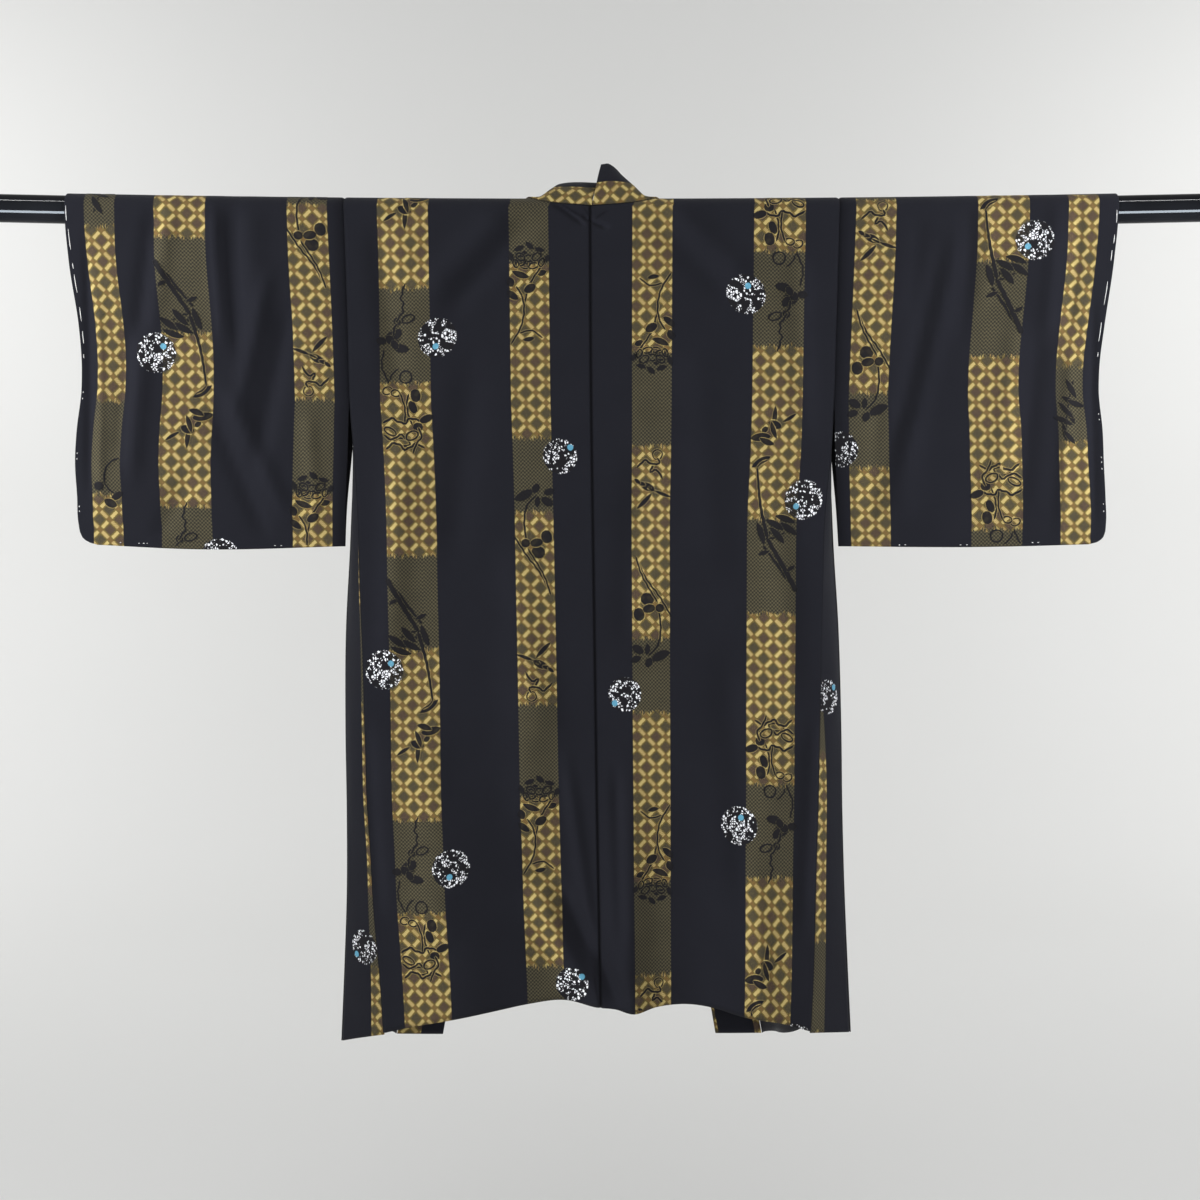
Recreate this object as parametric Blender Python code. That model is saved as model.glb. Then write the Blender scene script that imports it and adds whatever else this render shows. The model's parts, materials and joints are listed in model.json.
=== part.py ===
"""A haori jacket hung on a rod that runs through both of its sleeves.

The rod's axis is the X axis and its middle is the origin. The jacket's back faces -Y, its
open fronts face +Y, and +Z is up. Tables are in millimetres, and "drop" is the distance
below the rod's axis. Every piece of cloth is a thin wall on a grid of points: rows run
along the cloth's length and columns run across it. The rod bends a little under the cloth, and
everything follows it.
"""

import math

import bpy
import numpy as np

MM = 0.001

# Rod
ROD_RADIUS = 17.0
ROD_LENGTH = 1580.0
ROD_SAG = 9.5
ROD_SIDES = 32
ROD_SPANS = 10
ROD_BEVEL = 1.0

# Cloth
CLOTH = 1.5
COLLAR_THICKNESS = 2.4
ROD_CLEARANCE = 1.0
SEAM_GAP = 0.3
WRAP_RADIUS = ROD_RADIUS + ROD_CLEARANCE + CLOTH / 2

# Grid density
BODY_COLUMNS = 24
SLEEVE_COLUMNS = 12
GUSSET_COLUMNS = 4
COLLAR_COLUMNS = 5
BACK_ROWS = 13
FRONT_ROWS = 19
SLEEVE_ROWS = 12
GUSSET_ROWS = 14
FRONT_COLLAR_ROWS = 26
BACK_ROW_SPACING = 0.9
SLEEVE_ROW_SPACING = 1.6
SLEEVE_COLUMN_SPACING = 1.15
CLOTH_SHARP_ANGLE = 50.0
ROD_SHARP_ANGLE = 30.0

# Steps along a curve that is summed from its turns
FOLD_STEPS = 720
BAND_STEPS = 60
LARGEST_SWING = 2.2

# Seam between body and sleeve, from the shoulder to the armhole's lower end
ARMHOLE = 234.0
ARMHOLE_SEAM = {
    "drop": (-19, 112, 234),
    "left": (305.5, 301.5, 299),
    "right": (304.5, 301.5, 298.5),
}

# Below it, the back's edge: the open side and then the gusset's back seam
SIDE_EDGE = {
    "drop": (234, 289, 380, 463, 549, 647, 733, 790, 849, 956, 1033),
    "left": (299, 294.5, 289.5, 287.5, 284.5, 282.5, 280.5, 277, 274, 265, 260.5),
    "right": (298.5, 295.5, 288, 286, 284.5, 283.2, 282, 280.3, 279, 276.5, 273),
}

# The front's edge there: the open side and then the gusset's front seam
FRONT_EDGE = {
    "drop": (234, 289, 340, 421, 520, 650, 760, 855, 963, 1060),
    "left": (299, 298, 302, 306, 311.5, 313, 312, 312.5, 316.5, 321),
    "right": (298.5, 297.5, 301, 305, 311.5, 316, 318, 321, 326, 331),
}

# Edge of the fronts where the collar is sewn on, and the front's width as it was cut
FRONT_SEAM = {
    "drop": (0, 60, 150, 300, 500, 700, 900, 1055),
    "left": (88, 90, 96, 118, 152, 190, 230, 259),
    "right": (88, 90, 94, 110, 136, 165, 197, 224),
    "cut": (216.5, 213, 206, 199, 198, 198, 198, 198),
}
FRONT_FOLD_WAVES = 1.5

# The back and the front hems are read by share of this drop
FULL_DROP = 1000.0

# Centre back seam
CENTRE_SEAM = {
    "drop": (-19, 235, 481, 729, 1000),
    "x": (-2.5, -1, 2.5, 6, 11),
}

# Hem of the back, from the left side seam to the right side seam
BACK_HEM = {
    "x": (-262, -233, -173, -120, -78, -34, 4, 30, 52, 80, 121, 152, 187, 242, 274),
    "drop": (1020, 1013, 1000.5, 990, 982, 978, 985, 987, 992, 986, 983, 987, 997, 1008, 1018),
}
FRONT_HEM = {
    "place": (0, 0.2, 0.5, 0.8, 1),
    "left": (1043, 1031, 1022, 1036, 1053),
    "right": (1032, 1021, 1023, 1039, 1050),
}

# Soft folds of the back that grow towards the hem: depth is towards -Y
BACK_FOLDS = {
    "x_top": (24, -20, -196, 100, 214),
    "x_hem": (45, -38, -165, 120, 196),
    "start": (600, 480, 330, 430, 380),
    "depth": (11, -4, 6, -3, 5),
    "width": (24, 40, 52, 44, 50),
}

# Neck: the body panel's inner edge around the rod, by the angle up from the back's plane
NECK = {
    "angle": (0, 19, 24, 30, 38, 60, 90, 130, 180),
    "left": (0, 0, 20, 42, 57, 73, 81, 86, 88),
    "right": (0, 0, 20, 40, 56, 73, 82, 87, 88),
}
NECK_EASE = 20.0
BODY_WRAP = (0, 12, 19, 24, 30, 38, 50, 68, 90, 120, 150, 180)
SLEEVE_WRAP = (0, 25, 50, 75, 105, 130, 155, 180)

# Sleeves
CUFF_EDGE = {
    "drop": (-19, 71, 145, 193, 225, 273, 312, 354, 389, 401, 408, 412, 414),
    "left": (647, 643.5, 635, 633.5, 635.5, 642, 644.5, 642.5, 641, 638.5, 634, 627, 618),
    "right": (646.5, 642, 634, 630, 630.5, 636, 638, 640.5, 641.5, 640, 636, 629, 620),
}
SLEEVE_INNER_EDGE = {
    "drop": (234, 295, 357, 414),
    "left": (299, 302, 306.5, 308.5),
    "right": (298.5, 300.5, 304.8, 308),
}
SLEEVE_BOTTOM = {
    "place": (0, 0.4, 1),
    "left": (414.5, 418, 412),
    "right": (414, 415, 412),
}
CUFF_OPENING = 225.0
SLEEVE_CLOSING = 90.0
SLEEVE_LEAVING = 60.0
SLEEVE_SAG = 4.0

# Gussets
GUSSET_TOP = 289.0
GUSSET_BULGE = 3.0
GUSSET_LAP = 2.4
GUSSET_BACK_HEM = {"left": 1022.0, "right": 1020.0}
GUSSET_FRONT_HEM = {"left": 1043.0, "right": 1032.0}

# Collar: stations round the neck by the body panel's angle. The band leans towards "heading"
# (degrees: 0 is the jacket's middle, 90 is +Y) and rises from its seam to its fold.
COLLAR_WIDTH = 60.0
NECK_STATIONS = {
    "angle": (19, 24, 30, 38, 50, 68, 90, 120, 150, 180),
    "heading": (90, 88, 82, 66, 52, 36, 24, 14, 8, 4),
    "left_start": (80, 79, 73, 62, 32, 10, 4, 4, 8, 10),
    "left_end": (2, 2, -1, -11, -26, -25, -20, -12, -4, 0),
    "right_start": (86, 86, 82, 72, 42, 12, 4, 4, 8, 10),
    "right_end": (52, 50, 20, 0, -18, -24, -20, -12, -4, 0),
}
COLLAR_ANGLES = (19, 21.5, 24, 27, 30, 34, 38, 44, 50, 59, 68, 79, 90, 105, 120, 135, 150, 165, 180)
CENTRE_SKEW = {"left": 6.0, "right": 11.0}
SKEW_REACH = 26.0
COLLAR_FLAT_DROP = 130.0
COLLAR_GAP = 0.9
COLLAR_LIFT = 1.6

# Cord loops that the tie hooks into
LOOP_DROP = 385.0
LOOP_CORD = 2.6
LOOP_LENGTH = 13.0
LOOP_HALF_GAP = 3.0
LOOP_POINTS = 9

SIDES = {"left": -1, "right": 1}


def clear_scene():
    for obj in list(bpy.data.objects):
        bpy.data.objects.remove(obj, do_unlink=True)


def material(name, colour, roughness, metallic=0.0):
    made = bpy.data.materials.new(name)
    made.use_nodes = True
    shader = made.node_tree.nodes["Principled BSDF"]
    shader.inputs["Base Color"].default_value = (*colour, 1.0)
    shader.inputs["Roughness"].default_value = roughness
    shader.inputs["Metallic"].default_value = metallic
    return made


def read(table, key, column, at):
    """The table's column at the given places, on a smooth curve through its rows."""
    x = np.array(table[key], float)
    y = np.array(table[column], float)
    at = np.clip(np.asarray(at, float), x[0], x[-1])
    step = np.diff(x)
    slope = np.diff(y) / step
    inner = (slope[:-1] * step[1:] + slope[1:] * step[:-1]) / (step[:-1] + step[1:])
    tangent = np.concatenate([slope[:1], inner, slope[-1:]])
    i = np.clip(np.searchsorted(x, at, side="right") - 1, 0, len(x) - 2)
    t = (at - x[i]) / step[i]
    start = (1 + 2 * t) * (1 - t) ** 2 * y[i] + t * (1 - t) ** 2 * step[i] * tangent[i]
    end = t * t * (3 - 2 * t) * y[i + 1] - t * t * (1 - t) * step[i] * tangent[i + 1]
    return start + end


def edge(table, side, drop):
    """A side edge: the armhole's seam, and the table's own line below it."""
    above = read(ARMHOLE_SEAM, "drop", side, drop)
    below = read(table, "drop", side, drop)
    return np.where(np.asarray(drop) < ARMHOLE, above, below)


def ease(value):
    """0 below 0, 1 above 1 and a smooth step between."""
    t = np.clip(value, 0, 1)
    return t * t * (3 - 2 * t)


def sagged(points):
    """Points in metres, lifted towards the rod's ends as the rod bends under the cloth."""
    points = np.array(points, float)
    points[:, 2] += ROD_SAG * (points[:, 0] / (ROD_LENGTH / 2)) ** 2
    return points * MM


def object_of(name, points, faces, finish, sharp):
    mesh = bpy.data.meshes.new(name)
    mesh.from_pydata([tuple(p) for p in sagged(points)], [], faces)
    mesh.materials.append(finish)
    mesh.shade_smooth()
    mesh.set_sharp_from_angle(angle=math.radians(sharp))
    obj = bpy.data.objects.new(name, mesh)
    bpy.context.scene.collection.objects.link(obj)
    return obj


def wall(name, grid, thickness, finish, flip=False):
    """A cloth wall of one thickness with its middle on a rows x columns x 3 grid."""
    grid = np.asarray(grid, float)
    rows, columns = grid.shape[:2]
    faces = []
    for r in range(rows - 1):
        for c in range(columns - 1):
            a = r * columns + c
            quad = (a, a + 1, a + columns + 1, a + columns)
            faces.append(quad[::-1] if flip else quad)
    obj = object_of(name, grid.reshape(-1, 3), faces, finish, sharp=CLOTH_SHARP_ANGLE)
    solid = obj.modifiers.new("thickness", "SOLIDIFY")
    solid.thickness = thickness * MM
    solid.offset = 0
    return obj


def rod(finish):
    """A round rod with a small bevel at both ends."""
    half = ROD_LENGTH / 2
    middle = np.linspace(-half + ROD_BEVEL, half - ROD_BEVEL, ROD_SPANS + 1)
    stations = np.concatenate([[-half], middle, [half]])
    radii = np.full(len(stations), ROD_RADIUS)
    radii[[0, -1]] -= ROD_BEVEL
    turns = np.arange(ROD_SIDES) * 2 * math.pi / ROD_SIDES
    rings = np.stack(
        [
            np.repeat(stations[:, None], ROD_SIDES, axis=1),
            radii[:, None] * np.cos(turns),
            radii[:, None] * np.sin(turns),
        ],
        axis=-1,
    )
    faces = []
    for r in range(len(stations) - 1):
        for k in range(ROD_SIDES):
            a = r * ROD_SIDES + k
            b = r * ROD_SIDES + (k + 1) % ROD_SIDES
            faces.append((a, b, b + ROD_SIDES, a + ROD_SIDES))
    last = (len(stations) - 1) * ROD_SIDES
    faces.append(tuple(reversed(range(ROD_SIDES))))
    faces.append(tuple(range(last, last + ROD_SIDES)))
    return object_of("rod", rings.reshape(-1, 3), faces, finish, sharp=ROD_SHARP_ANGLE)


def around_rod(angle, x):
    """A point of the cloth that lies over the rod, by its angle up from the back's plane."""
    turn = math.radians(angle)
    y = np.full_like(x, -WRAP_RADIUS * math.cos(turn))
    z = np.full_like(x, WRAP_RADIUS * math.sin(turn))
    return np.stack([x, y, z], axis=-1)


def back_depth(x, drop):
    """Distance of the back from the rod's axis, with the soft folds."""
    depth = np.full_like(x, WRAP_RADIUS)
    for x_top, x_hem, start, fold, width in zip(*BACK_FOLDS.values()):
        middle = x_hem + (x_top - x_hem) * (1 - ease(drop / FULL_DROP))
        grown = ease((drop - start) / (FULL_DROP - start))
        depth += fold * grown * np.exp(-(((x - middle) / width) ** 2))
    return depth


def back_row(side, share, across):
    """One row of the back, at a share of the way from the rod to the hem."""
    sign = SIDES[side]
    x = np.zeros_like(across)
    drop = np.full_like(across, share * FULL_DROP)
    for _ in range(3):
        outer = sign * (edge(SIDE_EDGE, side, drop) - SEAM_GAP / 2)
        centre = read(CENTRE_SEAM, "drop", "x", drop) + sign * SEAM_GAP / 2
        x = outer + (centre - outer) * across
        drop = share * read(BACK_HEM, "x", "drop", x)
    return np.stack([x, -back_depth(x, drop), -drop], axis=-1)


def wrap_row(side, angle, across):
    """One row of the body panel over the rod, cut back at the neck."""
    sign = SIDES[side]
    drop = -WRAP_RADIUS * math.sin(math.radians(angle))
    outer = sign * (edge(SIDE_EDGE, side, drop) - SEAM_GAP / 2)
    neck = read(NECK, "angle", side, angle)
    centre = read(CENTRE_SEAM, "drop", "x", drop) * ease(1 - neck / NECK_EASE)
    inner = centre + sign * max(neck, SEAM_GAP / 2)
    return around_rod(angle, outer + (inner - outer) * across)


def fold_swing(ratio):
    """The largest turn of a wavy row whose width is this ratio of its cut width."""
    phase = (np.arange(FOLD_STEPS) + 0.5) * math.pi / FOLD_STEPS
    low, high = 0.0, LARGEST_SWING
    for _ in range(30):
        middle = (low + high) / 2
        if np.cos(middle * np.sin(phase)).mean() > ratio:
            low = middle
        else:
            high = middle
    return low


def front_row(side, drop, across):
    """One row of a front: it leaves the side and waves in depth, to fit its cut width."""
    sign = SIDES[side]
    outer = sign * (edge(FRONT_EDGE, side, drop) - SEAM_GAP / 2)
    inner = sign * read(FRONT_SEAM, "drop", side, drop)
    cut = read(FRONT_SEAM, "drop", "cut", drop)
    swing = fold_swing(min(abs(outer - inner) / cut, 1.0))
    fine = (np.arange(FOLD_STEPS) + 0.5) / FOLD_STEPS
    turn = swing * np.sin(2 * math.pi * FRONT_FOLD_WAVES * fine)
    along = np.concatenate([[0], np.cumsum(np.cos(turn))])
    along /= along[-1]
    away = np.concatenate([[0], np.cumsum(np.sin(turn))]) * cut / FOLD_STEPS
    places = np.linspace(0, 1, FOLD_STEPS + 1)
    x = outer + (inner - outer) * np.interp(across, places, along)
    y = WRAP_RADIUS + np.interp(across, places, away)
    return x, y


def front_point(side, share, across):
    """One row of a front as points, at a share of the way from the rod to the hem."""
    hem = read(FRONT_HEM, "place", side, across)
    x, y = front_row(side, float(share * read(FRONT_HEM, "place", side, 1)), across)
    return np.stack([x, y, -share * hem], axis=-1)


def body_panel(side, finish):
    """One length of cloth: up the back, over the rod and down the front."""
    across = np.linspace(0, 1, BODY_COLUMNS + 1)
    down = np.linspace(1, 0, BACK_ROWS) ** BACK_ROW_SPACING
    rows = [back_row(side, share, across) for share in down[:-1]]
    rows += [wrap_row(side, angle, across) for angle in BODY_WRAP]
    rows += [front_point(side, share, across) for share in np.linspace(0, 1, FRONT_ROWS)[1:]]
    return wall("body_" + side, rows, CLOTH, finish, flip=side == "left")


def sleeve_half_depth(across, drop, width, bottom):
    """Half of the sleeve's depth: open at the cuff and at the inner edge, shut at its seams."""
    shut = CLOTH / 2 + SEAM_GAP / 2
    hang = 1 - ease((drop - ARMHOLE) / (bottom - ARMHOLE))
    inner_edge = shut + (WRAP_RADIUS - shut) * hang
    middle = shut + (WRAP_RADIUS + SLEEVE_SAG - shut) * (1 - (drop / bottom) ** 2)
    cuff = shut + (WRAP_RADIUS - shut) * np.clip(1 - drop / CUFF_OPENING, 0, 1)
    from_cuff = ease(across * width / SLEEVE_CLOSING)
    from_inner = ease((1 - across) * width / SLEEVE_CLOSING)
    depth = cuff + (middle - cuff) * from_cuff
    depth = inner_edge + (depth - inner_edge) * from_inner
    return WRAP_RADIUS + (depth - WRAP_RADIUS) * ease(drop / SLEEVE_LEAVING)


def sleeve_row(side, share, across, face):
    """One row of the sleeve's back (face -1) or front (face 1)."""
    sign = SIDES[side]
    bottom = read(SLEEVE_BOTTOM, "place", side, across)
    drop = share * bottom
    outer = sign * read(CUFF_EDGE, "drop", side, drop)
    inner = sign * (edge(SLEEVE_INNER_EDGE, side, drop) + SEAM_GAP / 2)
    x = outer + (inner - outer) * across
    y = face * sleeve_half_depth(across, drop, abs(outer - inner), bottom)
    return np.stack([x, y, -drop], axis=-1)


def sleeve(side, finish):
    """One length of cloth folded over the rod, its two ends meeting at the bottom seam."""
    sign = SIDES[side]
    across = np.linspace(0, 1, SLEEVE_COLUMNS + 1) ** SLEEVE_COLUMN_SPACING
    down = 1 - (1 - np.linspace(0, 1, SLEEVE_ROWS)) ** SLEEVE_ROW_SPACING
    rows = [sleeve_row(side, share, across, -1) for share in down[:0:-1]]
    for angle in SLEEVE_WRAP:
        drop = -WRAP_RADIUS * math.sin(math.radians(angle))
        outer = sign * read(CUFF_EDGE, "drop", side, drop)
        inner = sign * (edge(SLEEVE_INNER_EDGE, side, drop) + SEAM_GAP / 2)
        rows.append(around_rod(angle, outer + (inner - outer) * across))
    rows += [sleeve_row(side, share, across, 1) for share in down[1:]]
    return wall("sleeve_" + side, rows, CLOTH, finish, flip=side == "left")


def gusset(side, finish):
    """The wedge between the back's side edge and the front's, from the open side to the hem."""
    sign = SIDES[side]
    across = np.linspace(0, 1, GUSSET_COLUMNS + 1)
    rows = []
    for share in np.linspace(0, 1, GUSSET_ROWS):
        back_drop = GUSSET_TOP + share * (GUSSET_BACK_HEM[side] - GUSSET_TOP)
        front_drop = GUSSET_TOP + share * (GUSSET_FRONT_HEM[side] - GUSSET_TOP)
        seam_x = sign * edge(SIDE_EDGE, side, back_drop)
        start_x = seam_x + sign * (SEAM_GAP + CLOTH)
        start_y = -back_depth(np.array([seam_x]), back_drop)[0]
        end_x = sign * (edge(FRONT_EDGE, side, front_drop) - CLOTH)
        end_y = WRAP_RADIUS - GUSSET_LAP
        x = start_x + (end_x - start_x) * across + sign * GUSSET_BULGE * np.sin(math.pi * across)
        y = start_y + (end_y - start_y) * across
        z = -(back_drop + (front_drop - back_drop) * across)
        rows.append(np.stack([x, y, z], axis=-1))
    return wall("gusset_" + side, rows, CLOTH, finish, flip=side == "right")


def band_row(seam, sign, heading, rise_start, rise_end, across, skew=0.0):
    """Points from the collar's seam to its fold, the rise turning evenly on the way."""
    fine = (np.arange(BAND_STEPS) + 0.5) / BAND_STEPS
    rise = np.radians(rise_start + (rise_end - rise_start) * fine)
    level = np.concatenate([[0], np.cumsum(np.cos(rise))]) * COLLAR_WIDTH / BAND_STEPS
    up = np.concatenate([[0], np.cumsum(np.sin(rise))]) * COLLAR_WIDTH / BAND_STEPS
    places = np.linspace(0, 1, BAND_STEPS + 1)
    level = np.interp(across, places, level)
    up = np.interp(across, places, up)
    turn = math.radians(heading)
    x = seam[0] - sign * math.cos(turn) * level + skew * across
    y = seam[1] + math.sin(turn) * level
    return np.stack([x, y, seam[2] + up], axis=-1)


def neck_band(side, angle, across):
    """One row of the collar where it stands round the neck, just clear of the neckline."""
    sign = SIDES[side]
    neck, further = read(NECK, "angle", side, np.array([angle, angle + 0.5]))
    run = (further - neck) * 2
    rise = WRAP_RADIUS * math.pi / 180
    length = math.hypot(run, rise)
    x = max(neck - COLLAR_GAP * rise / length, 0.0)
    turn = math.radians(angle + COLLAR_GAP * run / length / rise)
    radius = WRAP_RADIUS + COLLAR_LIFT * math.sin(turn)
    seam = (sign * (x + SEAM_GAP), -radius * math.cos(turn), radius * math.sin(turn))
    heading = float(read(NECK_STATIONS, "angle", "heading", angle))
    start = float(read(NECK_STATIONS, "angle", side + "_start", angle))
    end = float(read(NECK_STATIONS, "angle", side + "_end", angle))
    skew = CENTRE_SKEW[side] * float(1 - ease(neck / SKEW_REACH))
    return band_row(seam, sign, heading, start, end, across, skew)


def front_band(side, share, across):
    """One row of the collar down the front, flat beside the front's edge."""
    sign = SIDES[side]
    drop = share * float(read(FRONT_HEM, "place", side, 1))
    x, y = front_row(side, drop, np.array([1.0]))
    leaning = float(1 - ease(drop / COLLAR_FLAT_DROP))
    heading = NECK_STATIONS["heading"][-1] * leaning
    start = NECK_STATIONS[side + "_start"][-1] * leaning
    seam = (float(x[0]) - sign * COLLAR_GAP, float(y[0]), -drop)
    return band_row(seam, sign, heading, start, 0, across)


def collar(side, finish):
    """Half of the collar band, from the centre back round the neck and down to the hem."""
    across = np.linspace(0, 1, COLLAR_COLUMNS + 1)
    rows = [neck_band(side, angle, across) for angle in COLLAR_ANGLES]
    shares = np.linspace(0, 1, FRONT_COLLAR_ROWS)[1:]
    rows += [front_band(side, share, across) for share in shares]
    return wall("collar_" + side, rows, COLLAR_THICKNESS, finish, flip=side == "left")


def loop(side, finish):
    """A small cord loop that stands out from the collar's fold, both ends at the collar."""
    sign = SIDES[side]
    row = front_band(side, LOOP_DROP / read(FRONT_HEM, "place", side, 1), np.array([0.0, 1.0]))
    fold_x, y, z = row[1]
    start = fold_x - sign * COLLAR_GAP
    turns = np.linspace(0, math.pi, LOOP_POINTS)
    reach = LOOP_LENGTH - LOOP_HALF_GAP - LOOP_CORD / 2
    points = [(start, y, z + LOOP_HALF_GAP)]
    points += [
        (start - sign * (reach + LOOP_HALF_GAP * math.sin(a)), y, z + LOOP_HALF_GAP * math.cos(a))
        for a in turns
    ]
    points.append((start, y, z - LOOP_HALF_GAP))
    curve = bpy.data.curves.new("loop_" + side, "CURVE")
    curve.dimensions = "3D"
    spline = curve.splines.new("POLY")
    spline.points.add(len(points) - 1)
    for point, place in zip(spline.points, sagged(points)):
        point.co = (*place, 1)
    curve.bevel_depth = LOOP_CORD / 2 * MM
    curve.bevel_resolution = 1
    curve.use_fill_caps = True
    curve.materials.append(finish)
    obj = bpy.data.objects.new("loop_" + side, curve)
    bpy.context.scene.collection.objects.link(obj)
    return obj


def main():
    clear_scene()
    cloth = material("crepe", (0.017, 0.019, 0.026), 0.85)
    collar_cloth = material("collar_crepe", (0.020, 0.021, 0.028), 0.85)
    lacquer = material("black_lacquer", (0.006, 0.006, 0.007), 0.16)
    cord = material("loop_cord", (0.015, 0.016, 0.021), 0.8)
    rod(lacquer)
    for side in SIDES:
        body_panel(side, cloth)
        sleeve(side, cloth)
        gusset(side, cloth)
        collar(side, collar_cloth)
        loop(side, cord)


main()
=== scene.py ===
# A haori jacket hung on a lacquered rod that runs through both of its sleeves.
# Tables are in millimetres. "drop" is the distance below the rod's axis, and "across" runs
# from a panel's outer edge (0) to its inner edge (1). The back faces -Y.
import json
import math

import bpy
import numpy as np
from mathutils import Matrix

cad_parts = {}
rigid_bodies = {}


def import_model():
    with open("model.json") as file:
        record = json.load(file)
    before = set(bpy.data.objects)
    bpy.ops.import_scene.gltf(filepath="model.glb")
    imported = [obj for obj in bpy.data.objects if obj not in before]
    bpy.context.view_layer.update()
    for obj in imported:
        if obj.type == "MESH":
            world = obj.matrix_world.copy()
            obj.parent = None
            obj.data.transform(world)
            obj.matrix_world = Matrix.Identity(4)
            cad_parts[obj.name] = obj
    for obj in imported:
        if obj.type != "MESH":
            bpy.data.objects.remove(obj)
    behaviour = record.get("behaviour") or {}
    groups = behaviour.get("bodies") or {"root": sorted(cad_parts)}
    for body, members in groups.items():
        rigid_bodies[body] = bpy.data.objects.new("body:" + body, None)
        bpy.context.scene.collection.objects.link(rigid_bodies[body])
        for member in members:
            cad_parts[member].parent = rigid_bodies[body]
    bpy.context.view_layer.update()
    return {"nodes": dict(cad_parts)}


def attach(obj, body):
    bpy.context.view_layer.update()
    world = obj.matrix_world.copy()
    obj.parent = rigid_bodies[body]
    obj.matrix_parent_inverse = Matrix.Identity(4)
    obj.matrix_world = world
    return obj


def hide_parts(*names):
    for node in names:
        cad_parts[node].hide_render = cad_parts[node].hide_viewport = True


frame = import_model()
print("frame loaded:", len(frame["nodes"]), "nodes")

mm = 0.001  # a millimetre in metres
sides = {"left": -1, "right": 1}
wrap = 18.75  # radius of the cloth's middle where it lies over the rod
quarter = wrap * math.pi / 2  # length of cloth from the top of the rod to its axis' height
rodSag = {"rise": 9.5, "halfLength": 790.0}
cloth = {"thickness": 1.2, "seamGap": -0.1, "edgeRoll": 1.9, "rollWidth": 1.9, "uNeck": 303.0}
shading = {"most": 0.42, "gain": 1.5}

# Edges that the pieces share
armhole = 234.0
armholeSeam = {
    "drop": (-19, 112, 234),
    "left": (305.5, 301.5, 299),
    "right": (304.5, 301.5, 298.5),
}
sideEdge = {
    "drop": (234, 289, 380, 463, 549, 647, 733, 790, 849, 956, 1033),
    "left": (299, 294.5, 289.5, 287.5, 284.5, 282.5, 280.5, 277, 274, 265, 260.5),
    "right": (298.5, 295.5, 288, 286, 284.5, 283.2, 282, 280.3, 279, 276.5, 273),
}
frontEdge = {
    "drop": (234, 289, 340, 421, 520, 650, 760, 855, 963, 1060),
    "left": (299, 298, 302, 306, 311.5, 313, 312, 312.5, 316.5, 321),
    "right": (298.5, 297.5, 301, 305, 311.5, 316, 318, 321, 326, 331),
}
frontSeam = {
    "drop": (0, 60, 150, 300, 500, 700, 900, 1055),
    "left": (88, 90, 96, 118, 152, 190, 230, 259),
    "right": (88, 90, 94, 110, 136, 165, 197, 224),
    "cut": (216.5, 213, 206, 199, 198, 198, 198, 198),
}
frontHem = {
    "place": (0, 0.2, 0.5, 0.8, 1),
    "left": (1043, 1031, 1022, 1036, 1053),
    "right": (1032, 1021, 1023, 1039, 1050),
}


# The table's column at the given places, on a smooth (Hermite) curve through its rows.
def read(table, key, column, at):
    x = np.array(table[key], float)
    y = np.array(table[column], float)
    at = np.clip(np.asarray(at, float), x[0], x[-1])
    step = np.diff(x)
    slope = np.diff(y) / step
    inner = (slope[:-1] * step[1:] + slope[1:] * step[:-1]) / (step[:-1] + step[1:])
    tangent = np.concatenate([slope[:1], inner, slope[-1:]])
    i = np.clip(np.searchsorted(x, at, side="right") - 1, 0, len(x) - 2)
    t = (at - x[i]) / step[i]
    start = (1 + 2 * t) * (1 - t) ** 2 * y[i] + t * (1 - t) ** 2 * step[i] * tangent[i]
    end = t * t * (3 - 2 * t) * y[i + 1] - t * t * (1 - t) * step[i] * tangent[i + 1]
    return start + end


# 0 below 0, 1 above 1 and 3t^2 - 2t^3 between.
def ease(value):
    t = np.clip(value, 0, 1)
    return t * t * (3 - 2 * t)


# A panel's outer edge: the armhole's seam, and the table's own line below it.
def outerEdge(table, side, drop):
    above = read(armholeSeam, "drop", side, drop)
    return np.where(np.asarray(drop) < armhole, above, read(table, "drop", side, drop))


# Millimetres to metres, each point lifted by rise (x / halfLength)^2, as the rod bends.
def sagged(points):
    points = np.array(points, float)
    points[..., 2] += rodSag["rise"] * (points[..., 0] / rodSag["halfLength"]) ** 2
    return points * mm


# Numbers or arrays side by side, as the coordinates of points.
def stacked(*parts):
    return np.stack(np.broadcast_arrays(*parts), axis=-1)


# Vectors brought to length 1.
def unit(vectors):
    return vectors / np.linalg.norm(vectors, axis=-1, keepdims=True)


# Distance gone along a path at each of its points.
def gone(path):
    step = np.linalg.norm(np.diff(path, axis=0), axis=-1)
    return np.concatenate([np.zeros((1, *step.shape[1:])), np.cumsum(step, axis=0)])


# Running sums along each row, from 0.
def running(rows):
    return np.concatenate([np.zeros((len(rows), 1)), np.cumsum(rows, axis=1)], axis=1)


# Sum of soft ridges (height > 0) and troughs: height * exp(-(distance / width)^2), where the
# distance is to the crease's line, easing off over a third of its length at both ends.
def creases(table, x, z):
    total = np.zeros(np.broadcast(x, z).shape)
    for x0, z0, x1, z1, width, height in zip(*table.values()):
        length = math.hypot(x1 - x0, z1 - z0)
        along = ((x - x0) * (x1 - x0) + (z - z0) * (z1 - z0)) / length**2
        away = ((x - x0) * (z1 - z0) - (z - z0) * (x1 - x0)) / length
        fade = ease(along * 3 + 0.5) * ease((1 - along) * 3 + 0.5)
        total += height * fade * np.exp(-((away / width) ** 2))
    return total


# How far the cloth dips at its sewn edges: roll * exp(-(distance / width)^2).
def edgeDip(distance):
    return cloth["edgeRoll"] * np.exp(-((distance / cloth["rollWidth"]) ** 2))


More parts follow.
